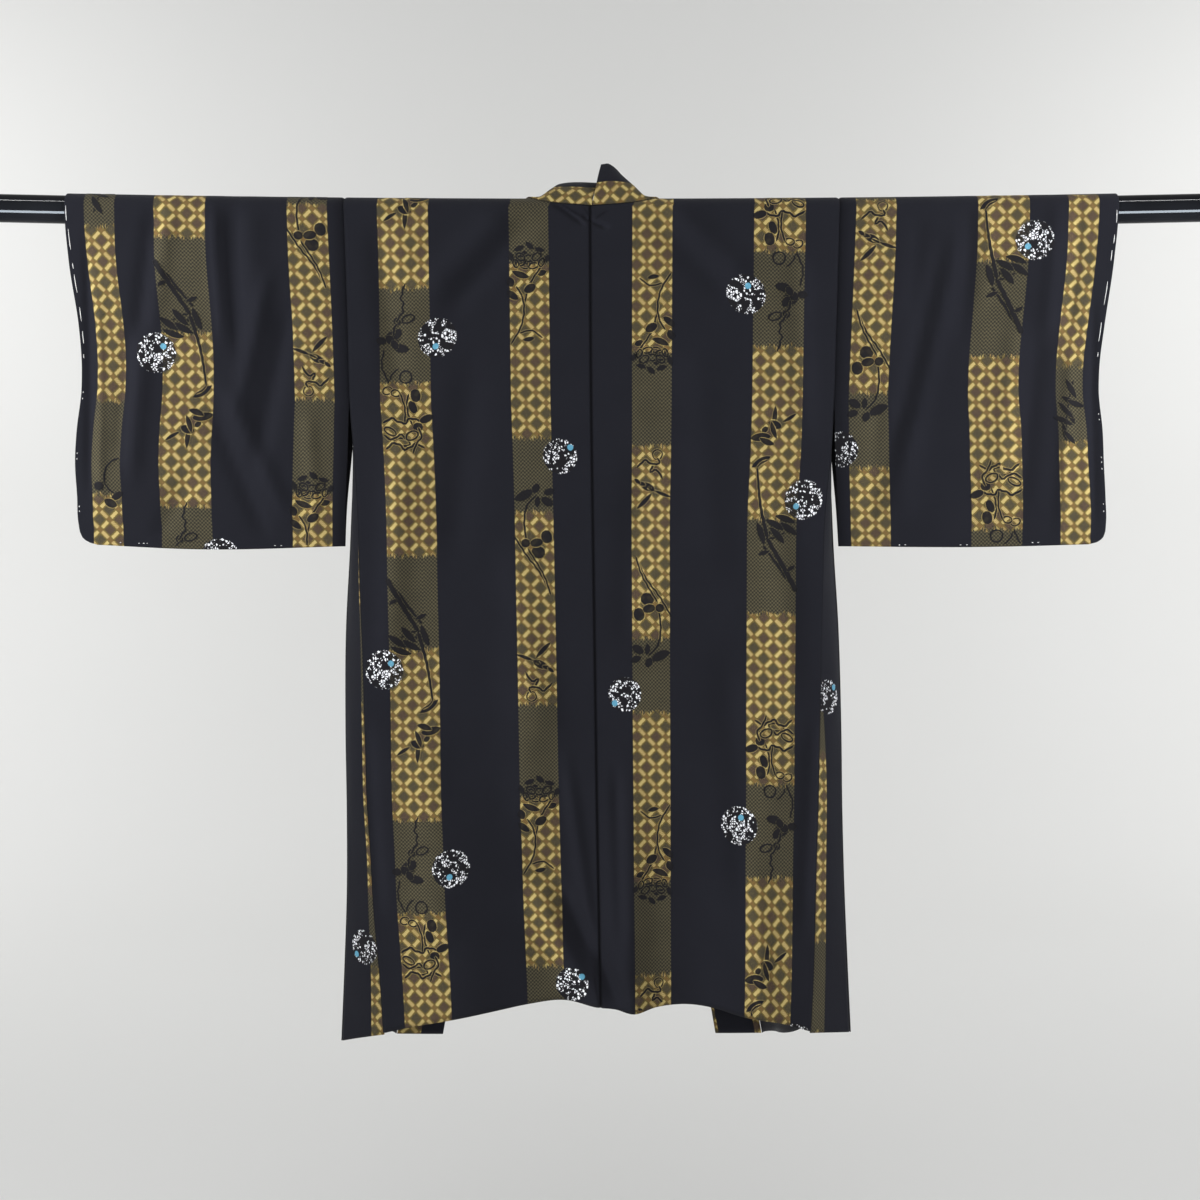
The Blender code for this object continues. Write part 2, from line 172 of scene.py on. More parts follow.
# Columns from 0 to 1 that lie closer together near both edges: t - k sin(2 pi t) / (2 pi).
def columns(count, k=0.8):
    t = np.linspace(0, 1, count + 1)
    return t - k * np.sin(2 * math.pi * t) / (2 * math.pi)


# Area of a grid of points, from the cross products of its cells' diagonals.
def gridArea(grid):
    a = grid[1:, 1:] - grid[:-1, :-1]
    b = grid[1:, :-1] - grid[:-1, 1:]
    return float(np.linalg.norm(np.cross(a, b), axis=-1).sum() / 2)


# Quads of a grid's points, numbered from first; a closed grid's last column joins its first.
def gridQuads(rows, cols, first=0, closed=False):
    index = first + np.arange(rows * cols).reshape(rows, cols)
    right = np.roll(index, -1, axis=1)
    if not closed:
        index, right = index[:, :-1], right[:, :-1]
    return stacked(index[:-1], right[:-1], right[1:], index[1:]).reshape(-1, 4)


turned = [0, 3, 2, 1]  # a quad's corners the other way round, from the same first corner


# A mesh object from arrays of points, quads and (u, v).
def facedMesh(name, points, quads, uv, materials):
    mesh = bpy.data.meshes.new(name)
    mesh.from_pydata(points.tolist(), [], quads.tolist())
    layer = mesh.uv_layers.new(name="cloth")
    corner = np.zeros(len(mesh.loops), np.int32)
    mesh.loops.foreach_get("vertex_index", corner)
    layer.data.foreach_set("uv", np.asarray(uv, np.float32)[corner].ravel())
    for item in materials:
        mesh.materials.append(item)
    mesh.shade_smooth()
    piece = bpy.data.objects.new(name, mesh)
    bpy.context.scene.collection.objects.link(piece)
    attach(piece, "root")
    return piece


# Stores a number for each point of a piece, for its material to read.
def setNumbers(piece, name, values):
    made = piece.data.attributes.new(name, "FLOAT", "POINT")
    made.data.foreach_set("value", np.asarray(values, np.float32).ravel())


# Painted light and shade of a fold's sides, put into the cloth's colour: lighter to the left of
# a ridge and darker to its right: most * tanh(gain * rise / most), from the rise over two
# millimetres of the depth of what hangs behind the rod's top (a length below 0) or ahead of it.
def foldShade(length, behind, ahead, x, z):
    rise = (np.where(length < 0, behind(at, z), ahead(at, z)) for at in (x + 1, x - 1))
    return shading["most"] * np.tanh(shading["gain"] * np.subtract(*rise) / 2 / shading["most"])


# Gives a sheet its thickness, its inner face in the second material.
def thicken(piece, thickness, offset=0.0, inner=1):
    solid = piece.modifiers.new("thickness", "SOLIDIFY")
    solid.thickness = thickness * mm
    solid.offset = offset
    solid.material_offset = inner
    solid.use_quality_normals = True


# A mesh on a grid of points in metres, with the cloth's own (u, v) in millimetres on it.
def gridMesh(name, grid, u, v, materials, flip=False, closed=False):
    quads = gridQuads(*grid.shape[:2], closed=closed)
    uv = stacked(u, v).reshape(-1, 2) * mm
    points = grid.reshape(-1, 3)
    return facedMesh(name, points, quads[:, ::-1] if flip else quads, uv, materials)


# A value of a piece at a share of the way from its top to its hem.
def topToHem(piece, key, share):
    return piece[key + "Top"] + (piece[key + "Hem"] - piece[key + "Top"]) * share


# The angle over the rod, up from the back's plane, at a length of cloth from its top.
def overAngle(length):
    return np.clip(90 + np.degrees(length / wrap), 0, 180)


# Materials: the figured silk, the crepe's grain, plain cloth
silk = {
    "repeat": 657.0,
    "dot": 2.3,
    "diamond": 25.27,
    "rough": 0.86,
    "woven": 0.16,
    "ground": (0.0096, 0.0100, 0.0134),
    "dotLight": (0.085, 0.073, 0.040),
    "dotDark": (0.018, 0.017, 0.013),
    "olive": (0.100, 0.077, 0.022),
    "gold": (0.45, 0.35, 0.142),
    "goldShade": (0.34, 0.262, 0.100),
    "barGold": (0.41, 0.325, 0.125),
    "copper": (0.135, 0.086, 0.030),
    "line": (0.105, 0.055, 0.018),
    "brown": (0.040, 0.034, 0.023),
    "maroon": (0.048, 0.031, 0.025),
    "white": (0.68, 0.69, 0.71),
    "teal": (0.10, 0.30, 0.42),
    "ink": (0.0085, 0.0082, 0.0095),
    # painted shade: the near-black that seams, outer edges and sharp creases are darkened towards
    "paintedShade": (0.002, 0.002, 0.003),
}
# Figured stripes across the cloth: left and right edge, the lattice's first diamond, and the
# two stretches of each repeat that carry the lattice.
stripes = {
    "left": (109.0, 272.0, 24.0),
    "right": (172.0, 321.0, 61.0),
    "diamondU": (124.4, 290.5, 44.5),
    "diamondV": (-80.0, 89.3, 334.0),
    "start": (115.8, 285.1, 315.0),
    "length": (214.8, 240.1, 214.8),
    "second": (328.6, 353.8, 328.6),
    "secondLength": (214.7, 214.8, 240.0),
}
stripeFrom = {"second": 220.0, "thirdBefore": 85.0}
yarn = {"warpsPerMm": 1.25, "jitter": 0.7, "waver": 16.0, "raggedness": 7.0}
# Inside a lattice cell, in cells from its middle: where bars start, where a bar's lit stretch
# ends, the border line, the diamond's heart, and the period of threads and checks
weave = {"bar": 0.387, "lit": 0.2975, "border": 0.35, "heart": 0.28, "check": 0.105, "thread": 0.1}
roundels = {
    "u": (181.0, 101.5, 331.5),
    "v": (63.0, 470.0, 218.0),
    "radius": (24.0, 24.3, 21.5),
    "tealU": (-2.2, 9.0, 13.0),
    "tealV": (10.3, -8.0, -11.0),
}
mosaic = {"scale": 0.34, "gap": 0.15, "dark": 0.25, "branch": 0.565, "teal": 3.75}
grain = {"pitch": 0.62, "strength": 0.55, "facing": 0.00006, "plain": 0.00005}
silkFinish = {"Specular IOR Level": 0.06, "Sheen Weight": 0.05, "Sheen Roughness": 0.45}
plainFinish = {"Specular IOR Level": 0.25, "Sheen Weight": 0.08}
plain = {
    "patches": 0.05,
    "lighter": 1.35,
    "lining": (0.0125, 0.0125, 0.0155),
    "cord": (0.014, 0.0145, 0.019),
}
colourMix = {"factor": 0, "a": 6, "b": 7, "result": 2}  # a mix node's sockets for colours
toMillimetres = 1000.0


# A shader value: arithmetic on it adds a node and gives back that node's output.
class Wire:
    def __init__(self, graph, socket):
        self.graph, self.socket = graph, socket

    # Another output of the same node
    def also(self, output):
        return Wire(self.graph, self.socket.node.outputs[output])

    def __add__(self, other):
        return self.graph.math("ADD", self, other)

    def __sub__(self, other):
        return self.graph.math("SUBTRACT", self, other)

    def __rsub__(self, other):
        return self.graph.math("SUBTRACT", other, self)

    def __mul__(self, other):
        return self.graph.math("MULTIPLY", self, other)

    def __truediv__(self, other):
        return self.graph.math("DIVIDE", self, other)

    def __abs__(self):
        return self.graph.math("ABSOLUTE", self)


# A short way to write a shader: each method adds a node and gives back one of its outputs.
class Graph:
    def __init__(self, tree):
        self.tree = tree

    def fill(self, socket, value):
        if isinstance(value, Wire):
            self.tree.links.new(value.socket, socket)
        else:
            socket.default_value = (*value, 1.0) if socket.type == "RGBA" else value

    # A node with its settings made and its inputs filled, by name or number
    def node(self, kind, inputs, output=0, **settings):
        made = self.tree.nodes.new("ShaderNode" + kind)
        for key, value in settings.items():
            setattr(made, key, value)
        for key, value in inputs.items():
            self.fill(made.inputs[key], value)
        return Wire(self, made.outputs[output])

    def math(self, operation, *values):
        return self.node("Math", dict(enumerate(values)), operation=operation)

    def largest(self, a, b):
        return self.math("MAXIMUM", a, b)

    def wave(self, value, step):
        return self.math("SINE", value * step)

    def vector(self, operation, *values):
        output = "Value" if operation in ("LENGTH", "DISTANCE", "DOT_PRODUCT") else "Vector"
        return self.node("VectorMath", dict(enumerate(values)), output, operation=operation)

    def scaled(self, vector, scale):
        return self.node("VectorMath", {0: vector, "Scale": scale}, operation="SCALE")

    def stretched(self, vector, x, y, z):
        return self.vector("MULTIPLY", vector, (x, y, z))

    def join(self, x, y, z=0.0):
        return self.node("CombineXYZ", {0: x, 1: y, 2: z})

    def split(self, vector):
        x = self.node("SeparateXYZ", {0: vector})
        return x, x.also(1), x.also(2)

    def mix(self, factor, a, b):
        sockets = {colourMix["factor"]: factor, colourMix["a"]: a, colourMix["b"]: b}
        return self.node("Mix", sockets, colourMix["result"], data_type="RGBA")

    # 0 below low, 1 above high, smooth between; the other way round if low is above high
    def ramp(self, value, low, high):
        limits = {"Value": value, "From Min": min(low, high), "From Max": max(low, high)}
        limits.update({"To Min": float(low > high), "To Max": float(low <= high)})
        return self.node("MapRange", limits, interpolation_type="SMOOTHSTEP", clamp=True)

    # 1 above an edge, or below it, and smooth across it
    def above(self, value, edge, soft=0.005):
        return self.ramp(value, edge - soft, edge + soft)

    def below(self, value, edge, soft=0.005):
        return self.ramp(value, edge + soft, edge - soft)

    def noise(self, vector, scale, detail=2.0):
        return self.node("TexNoise", {"Vector": vector, "Scale": scale, "Detail": detail}, "Fac")

    # A slow swing about 1, by noise of the given size
    def swing(self, vector, scale, amount):
        return (self.noise(vector, scale) - 0.5) * amount + 1.0

    def attribute(self, name):
        return self.node("Attribute", {}, "Fac", attribute_name=name)

    # The object's own place, and the cloth's (u, v)
    def place(self):
        return self.node("TexCoord", {}, "Object")

    def cloth(self):
        return self.node("UVMap", {}, uv_map="cloth")

    # One of three numbers, by two masks
    def pick(self, second, third, numbers):
        a, b, c = numbers
        return third * (c - a) + (second * (b - a) + a)


# An empty shader node group with the named inputs and outputs.
def newGroup(name, inputs, outputs):
    tree = bpy.data.node_groups.new(name, "ShaderNodeTree")
    for label, kind in inputs.items():
        tree.interface.new_socket(label, in_out="INPUT", socket_type="NodeSocket" + kind)
    for label, kind in outputs.items():
        tree.interface.new_socket(label, in_out="OUTPUT", socket_type="NodeSocket" + kind)
    given, result = (tree.nodes.new("NodeGroup" + end) for end in ("Input", "Output"))
    graph = Graph(tree)
    return graph, [Wire(graph, given.outputs[label]) for label in inputs], result


# The figured silk: three stripes of diamond lattice and dotted ground, and mosaic roundels.
def figuredSilk():
    inputs = {"Vector": "Vector", "Ink": "Float"}
    outputs = {"Color": "Color", "Roughness": "Float", "Height": "Float"}
    g, (vector, ink), result = newGroup("figuredSilk", inputs, outputs)
    place = g.scaled(vector, toMillimetres)
    u, v, _ = g.split(place)

    # threads are dyed one by one, so a figure's edges step a little from thread to thread
    warp = g.math("FLOOR", u * yarn["warpsPerMm"])
    dyed = g.node("TexWhiteNoise", {"W": warp}, noise_dimensions="1D")
    jitter = dyed * yarn["jitter"] - yarn["jitter"] / 2
    v = v + jitter
    height = g.math("FLOORED_MODULO", v, silk["repeat"])

    masks = []
    for low, high in zip(stripes["left"], stripes["right"]):
        masks.append(g.below(abs(u - (low + high) / 2), (high - low) / 2, 0.5))
    stripe = g.largest(g.largest(masks[0], masks[1]), masks[2])
    second = g.math("GREATER_THAN", u, stripeFrom["second"])
    third = g.math("LESS_THAN", u, stripeFrom["thirdBefore"])

    # diamonds: P = (du + dv) / pitch and Q = (du - dv) / pitch, whole numbers at their middles
    du = u - g.pick(second, third, stripes["diamondU"])
    dv = v - g.pick(second, third, stripes["diamondV"])
    p, q = (du + dv) / silk["diamond"], (du - dv) / silk["diamond"]
    cellP, cellQ = g.math("ROUND", p), g.math("ROUND", q)
    fp, fq = abs(p - cellP), abs(q - cellQ)

    # the lattice's ends are ragged: they waver by a few threads and dissolve into the ground
    waver = g.noise(g.stretched(place, 1.0, 0.6, 1.0), 0.16) - 0.5
    ragged = waver * yarn["waver"] + jitter * yarn["raggedness"]
    here = v - g.pick(second, third, stripes["start"]) + ragged
    here = g.math("FLOORED_MODULO", here, silk["repeat"])
    ends = []
    for first, length in ((None, "length"), ("second", "secondLength")):
        spot = here - g.pick(second, third, stripes[first]) if first else here
        ends.append(g.math("MINIMUM", spot, g.pick(second, third, stripes[length]) - spot))
    inward = g.largest(ends[0], ends[1])
    lattice = g.ramp(inward, 0.0, 2.5)
    fading = g.ramp(inward, -1.0, 9.0)

    # threads: 1 at their tops, 1 - depth between them
    def ply(value, period, depth):
        return g.math("COSINE", value * (2 * math.pi / period)) * (depth / 2) + (1 - depth / 2)

    # one way run unbroken bands of three pale threads, dim where they cross; the other way
    # run plain bars between them; thin brown threads line both
    band = g.above(fq, weave["bar"])
    lit = g.below(fp, weave["lit"], 0.0075) * (fading * 0.80 + 0.20)
    bar = g.above(fp, weave["bar"]) * g.below(fq, weave["lit"], 0.0075)
    bar = bar * (fading * 0.75 + 0.25)
    farther = g.largest(fp, fq)
    border = g.above(farther, weave["border"]) - g.above(farther, weave["bar"])
    checks = ply(p, weave["check"], 1.0) * ply(q, weave["check"], 1.0)
    red = g.node("TexWhiteNoise", {"Vector": g.join(cellP, cellQ)}, noise_dimensions="2D")
    tone = g.noise(place, 0.035, 3.0)
    speck = g.noise(g.stretched(place, 1.0, 1.6, 1.0), 0.9, 1.0)
    heart = g.mix(g.above(red, 0.5, 0.05), silk["brown"], silk["maroon"])
    heart = g.mix(checks * 0.30, heart, silk["olive"])
    figure = g.mix(g.below(farther, weave["heart"], 0.02), silk["olive"], heart)
    figure = g.mix(border * 0.8, figure, silk["line"])
    figure = g.mix(bar * ply(fp, weave["thread"], 0.25), figure, silk["barGold"])
    crossing = ply(fq, weave["thread"], 1.0) * 0.7 + 0.3
    crossed = g.mix(crossing, silk["line"], silk["copper"])
    bright = g.mix(g.ramp(tone, 0.4, 0.7), silk["gold"], silk["goldShade"])
    bright = g.mix(ply(fq, weave["thread"], 0.75), silk["copper"], bright)
    figure = g.mix(band, figure, g.mix(lit, crossed, bright))

    # the dotted ground: sin(u) sin(v), in rows of dots along both slants
    pitch = math.pi / silk["dot"]
    dots = g.wave(u, pitch) * g.wave(v, pitch) * 0.75 + (g.ramp(tone, 0.3, 0.75) * 0.10 + 0.33)
    figure = g.mix(lattice, g.mix(dots, silk["dotDark"], silk["dotLight"]), figure)
    figure = g.mix(g.ramp(speck, 0.45, 0.75) * 0.22, figure, silk["dotDark"])
    colour = g.mix(stripe, silk["ground"], figure)

    # roundels: broken white scales inside three circles, a few of them left dark
    cells = {"Vector": g.stretched(place, 1.0, 0.80, 1.0), "Scale": mosaic["scale"]}
    crack = g.node("TexVoronoi", cells, "Distance", feature="DISTANCE_TO_EDGE")
    chance = g.split(g.node("TexVoronoi", cells, "Color", feature="F1"))[0]
    kept = g.math("GREATER_THAN", chance, mosaic["dark"])
    kept = kept * g.below(g.noise(place, 0.085, 1.5), mosaic["branch"], 0.01)
    white = g.above(crack, mosaic["gap"], 0.025) * kept
    discs, spots = [], []
    for cu, cv, radius, tu, tv in zip(*roundels.values()):
        offset = g.join(u - cu, height - cv)
        discs.append(g.below(g.vector("LENGTH", offset), radius, 0.4))
        spots.append(g.below(g.vector("DISTANCE", offset, (tu, tv, 0.0)), mosaic["teal"], 0.55))
    rim, teal = (g.largest(g.largest(part[0], part[1]), part[2]) for part in (discs, spots))
    chips = g.mix(white, silk["ink"], g.mix(teal * 0.9, silk["white"], silk["teal"]))
    colour = g.mix(rim, colour, g.mix(teal * 0.85, chips, silk["teal"]))

    # ink figures: their soft outlines show a pale rim where they cross the lattice
    drawn = (speck - 0.5) * 0.5 + ink
    pale = g.ramp(drawn, 0.02, 0.16) * g.ramp(drawn, 0.50, 0.34) * (lattice * stripe)
    colour = g.mix(pale * 0.55, colour, silk["goldShade"])
    colour = g.mix(g.ramp(drawn, 0.30, 0.50) * 0.97, colour, silk["ink"])

    # the crepe's grain lightens and darkens the cloth a little
    shade = g.swing(g.stretched(place, 1.0, 0.35, 1.0), 1.6, 0.35) * g.swing(place, 0.012, 0.22)
    g.fill(result.inputs["Color"], g.scaled(colour, shade))
    woven = g.largest(stripe, rim) * silk["woven"]
    g.fill(result.inputs["Roughness"], silk["rough"] - woven)
    g.fill(result.inputs["Height"], g.largest(band * lit * stripe, white * rim) * 0.5)
    return g.tree


# Crepe: twisted weft threads, sin(v) with a wandering phase, crossed by finer warps.
def crepeGrain():
    g, (vector, pitch), result = newGroup(
        "crepeGrain", {"Vector": "Vector", "Pitch": "Float"}, {"Height": "Float"}
    )
    place = g.scaled(vector, toMillimetres)
    u, v, _ = g.split(place)
    step = g.math("DIVIDE", 2 * math.pi, pitch)
    weft = g.math("SINE", v * step + g.noise(place, 0.7) * 5.0)
    total = g.wave(u * step, 1.4) * 0.35 + weft
    g.fill(result.inputs["Height"], g.noise(place, 0.35, 3.0) * 1.6 + total)
    return g.tree


# A new material with its Principled shader and a graph to build on.
def newMaterial(name, colour, roughness, settings={}):
    made = bpy.data.materials.new(name)
    made.use_nodes = True
    made.diffuse_color = (*colour, 1.0)
    g = Graph(made.node_tree)
    shader = made.node_tree.nodes["Principled BSDF"].inputs
    g.fill(shader["Base Color"], colour)
    g.fill(shader["Roughness"], roughness)
    for key, value in settings.items():
        g.fill(shader[key], value)
    return made, g, shader


silkGroup = figuredSilk()
grainGroup = crepeGrain()


# Adds the crepe's grain to a material as a bump; the pitch is in millimetres.
def addGrain(g, shader, uv, distance, pitch, extra=None):
    height = g.node("Group", {"Vector": uv, "Pitch": pitch}, "Height", node_tree=grainGroup)
    height = height if extra is None else height + extra
    bump = {"Strength": grain["strength"], "Distance": distance, "Height": height}
    g.fill(shader["Normal"], g.node("Bump", bump))


# The cloth's face: figured silk with its grain; ink reads the figures' own attribute.
def silkMaterial(name, inked=False):
    made, g, shader = newMaterial(name, silk["ground"], silk["rough"], silkFinish)
    uv = g.cloth()
    given = {"Vector": uv, "Ink": g.attribute("ink") if inked else 0.0}
    pattern = g.node("Group", given, "Color", node_tree=silkGroup)
    # painted light and shade of folds: the pattern's colour is scaled up on a fold's lit side and down on
    # its shaded side
    shaded = g.scaled(pattern, g.attribute("paintedFoldLight") + 1.0)
    # painted shade: the colour is darkened towards that near-black by the piece's shade attribute, at
    # seams, edges and creases
    g.fill(shader["Base Color"], g.mix(g.attribute("paintedShade"), shaded, silk["paintedShade"]))
    g.fill(shader["Roughness"], pattern.also("Roughness"))
    addGrain(g, shader, uv, grain["facing"], grain["pitch"], pattern.also("Height"))
    return made


# Plain cloth, such as the lining: one colour with slow variation, and its grain.
def plainMaterial(name, colour, roughness, pitch):
    made, g, shader = newMaterial(name, colour, roughness, plainFinish)
    uv = g.cloth()
    tone = g.ramp(g.noise(g.scaled(uv, toMillimetres), plain["patches"], 3.0), 0.3, 0.7)
    lighter = tuple(c * plain["lighter"] for c in colour)
    g.fill(shader["Base Color"], g.mix(tone, colour, lighter))
    addGrain(g, shader, uv, grain["plain"], pitch)
    return made


# A piece of cloth, silk outside and lining inside.
def clothPiece(name, side, grid, u, v, thickness):
    piece = gridMesh(name, grid, u, v, [silkFace, lining], flip=side == "right")
    thicken(piece, thickness)
    return piece


silkFace = silkMaterial("figured_crepe")
silkInk = silkMaterial("figured_crepe_ink", inked=True)
lining = plainMaterial("lining_silk", plain["lining"], 0.6, 0.42)
print("cloth materials made")

# Body panels: each runs up the back, over the shoulder and down the front
body = {
    "columns": 78,
    "backRows": 200,
    "wrapRows": 60,
    "frontRows": 170,
    "flat": (0.345, 2.13),
    "uOuterTop": 67.0,
    "uOuterHem": 79.0,
    "uInnerTop": 373.0,
    "uInnerHem": 368.0,
    "vTop": {"left": -124.0, "right": 197.0},
    "vWay": {"left": 1, "right": -1},
    "seamShift": 12.5,
    "shiftFrom": 232.0,
    "shiftTo": 79.0,
    "stretch": 1.01,
    "rowPower": 1.35,
    "creasesOver": 40.0,
    "creasesLeast": 0.4,
    "frontCreasesOver": 60.0,
    "foldsFrom": 500.0,
    "foldsOver": 300.0,
    # painted crease shade only where the length of cloth is below this
    "creaseShadeTo": 6.0,
    "wrapDip": 0.7,
    # painted shade along the centre seam and the outer edge; the seam's shade fades out at the neck
    "dark": {"seam": 0.97, "seamWidth": 2.3, "edge": 0.5, "edgeWidth": 1.5, "neck": 12.0},
}
# How far the hem's outer part takes up the cloth, from where down the back (over which
# length), and from where across it (over which width)
takenUp = {"left": 0.0, "right": 20.0, "from": 830.0, "over": 210.0, "outFrom": 120.0, "outOver": 60.0}
fullDrop = 1000.0  # the back's middle length
neckFade = 20.0  # the seam fades out where the neck has opened this far
tableStep = 5.0  # drop between the rows of a front's table
centreSeam = {
    "drop": (-19, 235, 481, 729, 1000),
    "x": (-2.5, -1, 2.5, 6, 11),
}
backHem = {
    "x": (-262, -233, -173, -120, -78, -34, 4, 30, 52, 80, 121, 152, 187, 242, 274),
    "drop": (1020, 1013, 1000.5, 990, 982, 978, 985, 987, 992, 986, 983, 987, 997, 1008, 1018),
}
backFolds = {
    "x_top": (24, -20, -196, 100, 214),
    "x_hem": (45, -38, -165, 120, 196),
    "start": (600, 480, 330, 430, 380),
    "depth": (11, -4, 6, -3, 5),
    "width": (24, 40, 52, 44, 50),
}
neckEdge = {
    "angle": (0, 19, 24, 30, 38, 60, 90, 130, 180),
    "left": (0, 0, 20, 42, 57, 73, 81, 86, 88),
    "right": (0, 0, 20, 40, 56, 73, 82, 87, 88),
}
# Soft creases of the back: a line from (x0, z0) to (x1, z1), with its width and height
backCreases = {
    "x0": (
        -48, -10, -262, -236, -150, -96, 250, 226, 170, 60, -205, 128, -60,
        -282, 276, -30, 30, 200, -40, -66, -198, -176, 102, 84, -95,
    ),
    "z0": (
        12, -8, -30, -300, -190, -520, -60, -330, -560, -300, -640, -180, -840,
        -640, -640, -690, -700, -800, -839, -850, -99, -120, -2, -14, -420,
    ),
    "x1": (
        -12, 18, -240, -250, -172, -70, 262, 246, 196, 44, -190, 150, -20,
        -268, 264, 8, 36, 214, 41, 12, -108, -84, 188, 168, -60,
    ),
    "z1": (
        -14, -20, -210, -560, -420, -760, -260, -600, -860, -520, -900, -430, -960,
        -860, -880, -960, -900, -990, -986, -990, -4, -20, -78, -100, -640,
    ),
    "width": (
        3.4, 3, 16, 18, 22, 26, 15, 20, 24, 20, 26, 24, 20, 12, 12, 9, 8, 14, 11, 14, 20, 16, 18, 18, 22,
    ),
    "height": (
        -3.6, -3.6, -3, 3.6, -2.7, 2.8, -3.4, 3.6, -3.2, -2.1, 3, 2.1, 2.5,
        -2.8, -2.7, 2.8, -2.5, 2.5, -6, 5, 3.2, -2.6, 3.0, -2.8, 3.0,
    ),
}
frontCreases = {
    "x0": (130, 190, 262, 232, 160, 282, 210, 252),
    "z0": (-40, -120, -240, -430, -360, -520, -700, -820),
    "x1": (150, 214, 246, 246, 176, 274, 226, 264),
    "z1": (-240, -380, -440, -700, -620, -800, -960, -1010),
    "width": (16, 20, 17, 24, 20, 15, 22, 16),
    "height": (2.7, -3, 2.5, -2.8, 2.5, 2.3, -2.7, 1.9),
}
# Sharp creases drawn as dark lines of painted shade along their troughs; here height is the darkness
paintedCreaseShade = {
    "x0": (-47, -10, 17, 2, 10),
    "z0": (14, 4, -1, -945, -985),
    "x1": (-11, -1, 5, 9, 12),
    "z1": (-8, -11, -9, -985, -1000),
    "width": (1.5, 1.1, 1.2, 1.4, 1.4),
    "height": (0.75, 0.45, 0.6, 0.5, 0.5),
}


# The back's distance from the rod's axis: the sum of folds that grow towards the hem.
def backDepth(x, drop):
    depth = np.full(np.broadcast(x, drop).shape, wrap)
    for xTop, xHem, start, fold, width in zip(*backFolds.values()):
        middle = xHem + (xTop - xHem) * (1 - ease(drop / fullDrop))
        grown = ease((drop - start) / (fullDrop - start))
        depth += fold * grown * np.exp(-(((x - middle) / width) ** 2))
    return depth


# Places across a row between two edges, and its dip at both sewn edges; the inner edge's dip
# counts only as far as it is sewn.
def acrossRow(outer, inner, across, sewn=1):
    width = np.abs(inner - outer)
    dip = edgeDip(across * width) + edgeDip((1 - across) * width) * sewn
    return outer + (inner - outer) * across, dip


# A point of the back: x between the side edge and the centre seam, y behind the rod.
def backPoint(side, drop, across):
    sign = sides[side]
    outer = sign * (outerEdge(sideEdge, side, drop) - cloth["seamGap"] / 2)
    centre = read(centreSeam, "drop", "x", drop) + sign * cloth["seamGap"] / 2
    x, dip = acrossRow(outer, centre, across)
    grown = ease(drop / body["creasesOver"] + body["creasesLeast"])
    raised = creases(backCreases, x, -drop) * grown
    return stacked(x, -(backDepth(x, drop) + raised - dip), -drop)


# A point over the rod at an angle up from the back's plane, cut back at the neck.
def wrapPoint(side, angle, across):
    sign = sides[side]
    turn = np.radians(angle)
    drop = -wrap * np.sin(turn)
    outer = sign * (outerEdge(sideEdge, side, drop) - cloth["seamGap"] / 2)
    neck = read(neckEdge, "angle", side, angle)
    centre = read(centreSeam, "drop", "x", drop) * ease(1 - neck / neckFade)
    inner = centre + sign * np.maximum(neck, cloth["seamGap"] / 2)
    x, dip = acrossRow(outer, inner, across, ease(1 - neck / neckFade))
    radius = wrap - dip * body["wrapDip"]
    return stacked(x, -radius * np.cos(turn), radius * np.sin(turn))


# Rows of a front, as tables over (drop, across): the row turns by swing * sin(3 pi t), and the
# swing is the one that fits the cut width into the width between the row's two edges.
def frontTable(side, rows=221, steps=240, tries=200, widest=2.2, phases=720):
    drop = np.arange(rows) * tableStep
    outer = outerEdge(frontEdge, side, drop) - cloth["seamGap"] / 2
    inner = read(frontSeam, "drop", side, drop)
    cut = read(frontSeam, "drop", "cut", drop)
    swings = np.linspace(0, widest, tries)
    phase = (np.arange(phases) + 0.5) * math.pi / phases
    shares = np.cos(swings[:, None] * np.sin(phase)).mean(axis=1)
    swing = np.interp(-np.minimum((outer - inner) / cut, 1), -shares, swings)
    fine = (np.arange(steps) + 0.5) / steps
    turn = swing[:, None] * np.sin(3 * math.pi * fine)
    along = running(np.cos(turn))
    away = running(np.sin(turn)) * cut[:, None] / steps
    lines = {"drop": drop, "outer": outer, "inner": inner, "cut": cut}
    return {"along": along / along[:, -1:], "away": away, **lines}


frontTables = {side: frontTable(side) for side in sides}


# Value of a table between its four nearest entries; i and j count rows and columns, and stay
# just inside the last ones.
def between(table, i, j, last=1.001):
    i, j = np.clip(i, 0, table.shape[0] - last), np.clip(j, 0, table.shape[1] - last)
    a, b = i.astype(int), j.astype(int)
    s, t = i - a, j - b
    top = table[a, b] * (1 - t) + table[a, b + 1] * t
    return top * (1 - s) + (table[a + 1, b] * (1 - t) + table[a + 1, b + 1] * t) * s


# A point of a front: its row is read at a share of the way from the rod to the hem.
def frontPoint(side, drop, across):
    drop, across = np.broadcast_arrays(np.asarray(drop, float), across)
    sign, table = sides[side], frontTables[side]
    rowDrop = drop / read(frontHem, "place", side, across) * read(frontHem, "place", side, 1)
    i, j = rowDrop / tableStep, across * (table["along"].shape[1] - 1)
    outer, inner, width = (
        np.interp(rowDrop, table["drop"], table[line]) for line in ("outer", "inner", "cut")
    )
    x = outer + (inner - outer) * between(table["along"], i, j)
    raised = creases(frontCreases, x, -drop) * ease(drop / body["frontCreasesOver"])
    dip = edgeDip(across * width) + edgeDip((1 - across) * width)
    y = wrap + between(table["away"], i, j) + raised - dip
    return stacked(sign * x, y, -drop)


# A body panel's point by the length of cloth from the shoulder's top: negative down the back,
# positive down the front.
def bodyPoint(side, length, across):
    length, across = np.broadcast_arrays(np.asarray(length, float), across)
    back = backPoint(side, np.maximum(-length - quarter, 0), across)
    front = frontPoint(side, np.maximum(length - quarter, 0), across)
    over = wrapPoint(side, overAngle(length), across)
    where = (length < -quarter)[..., None]
    return np.where(where, back, np.where((length > quarter)[..., None], front, over))


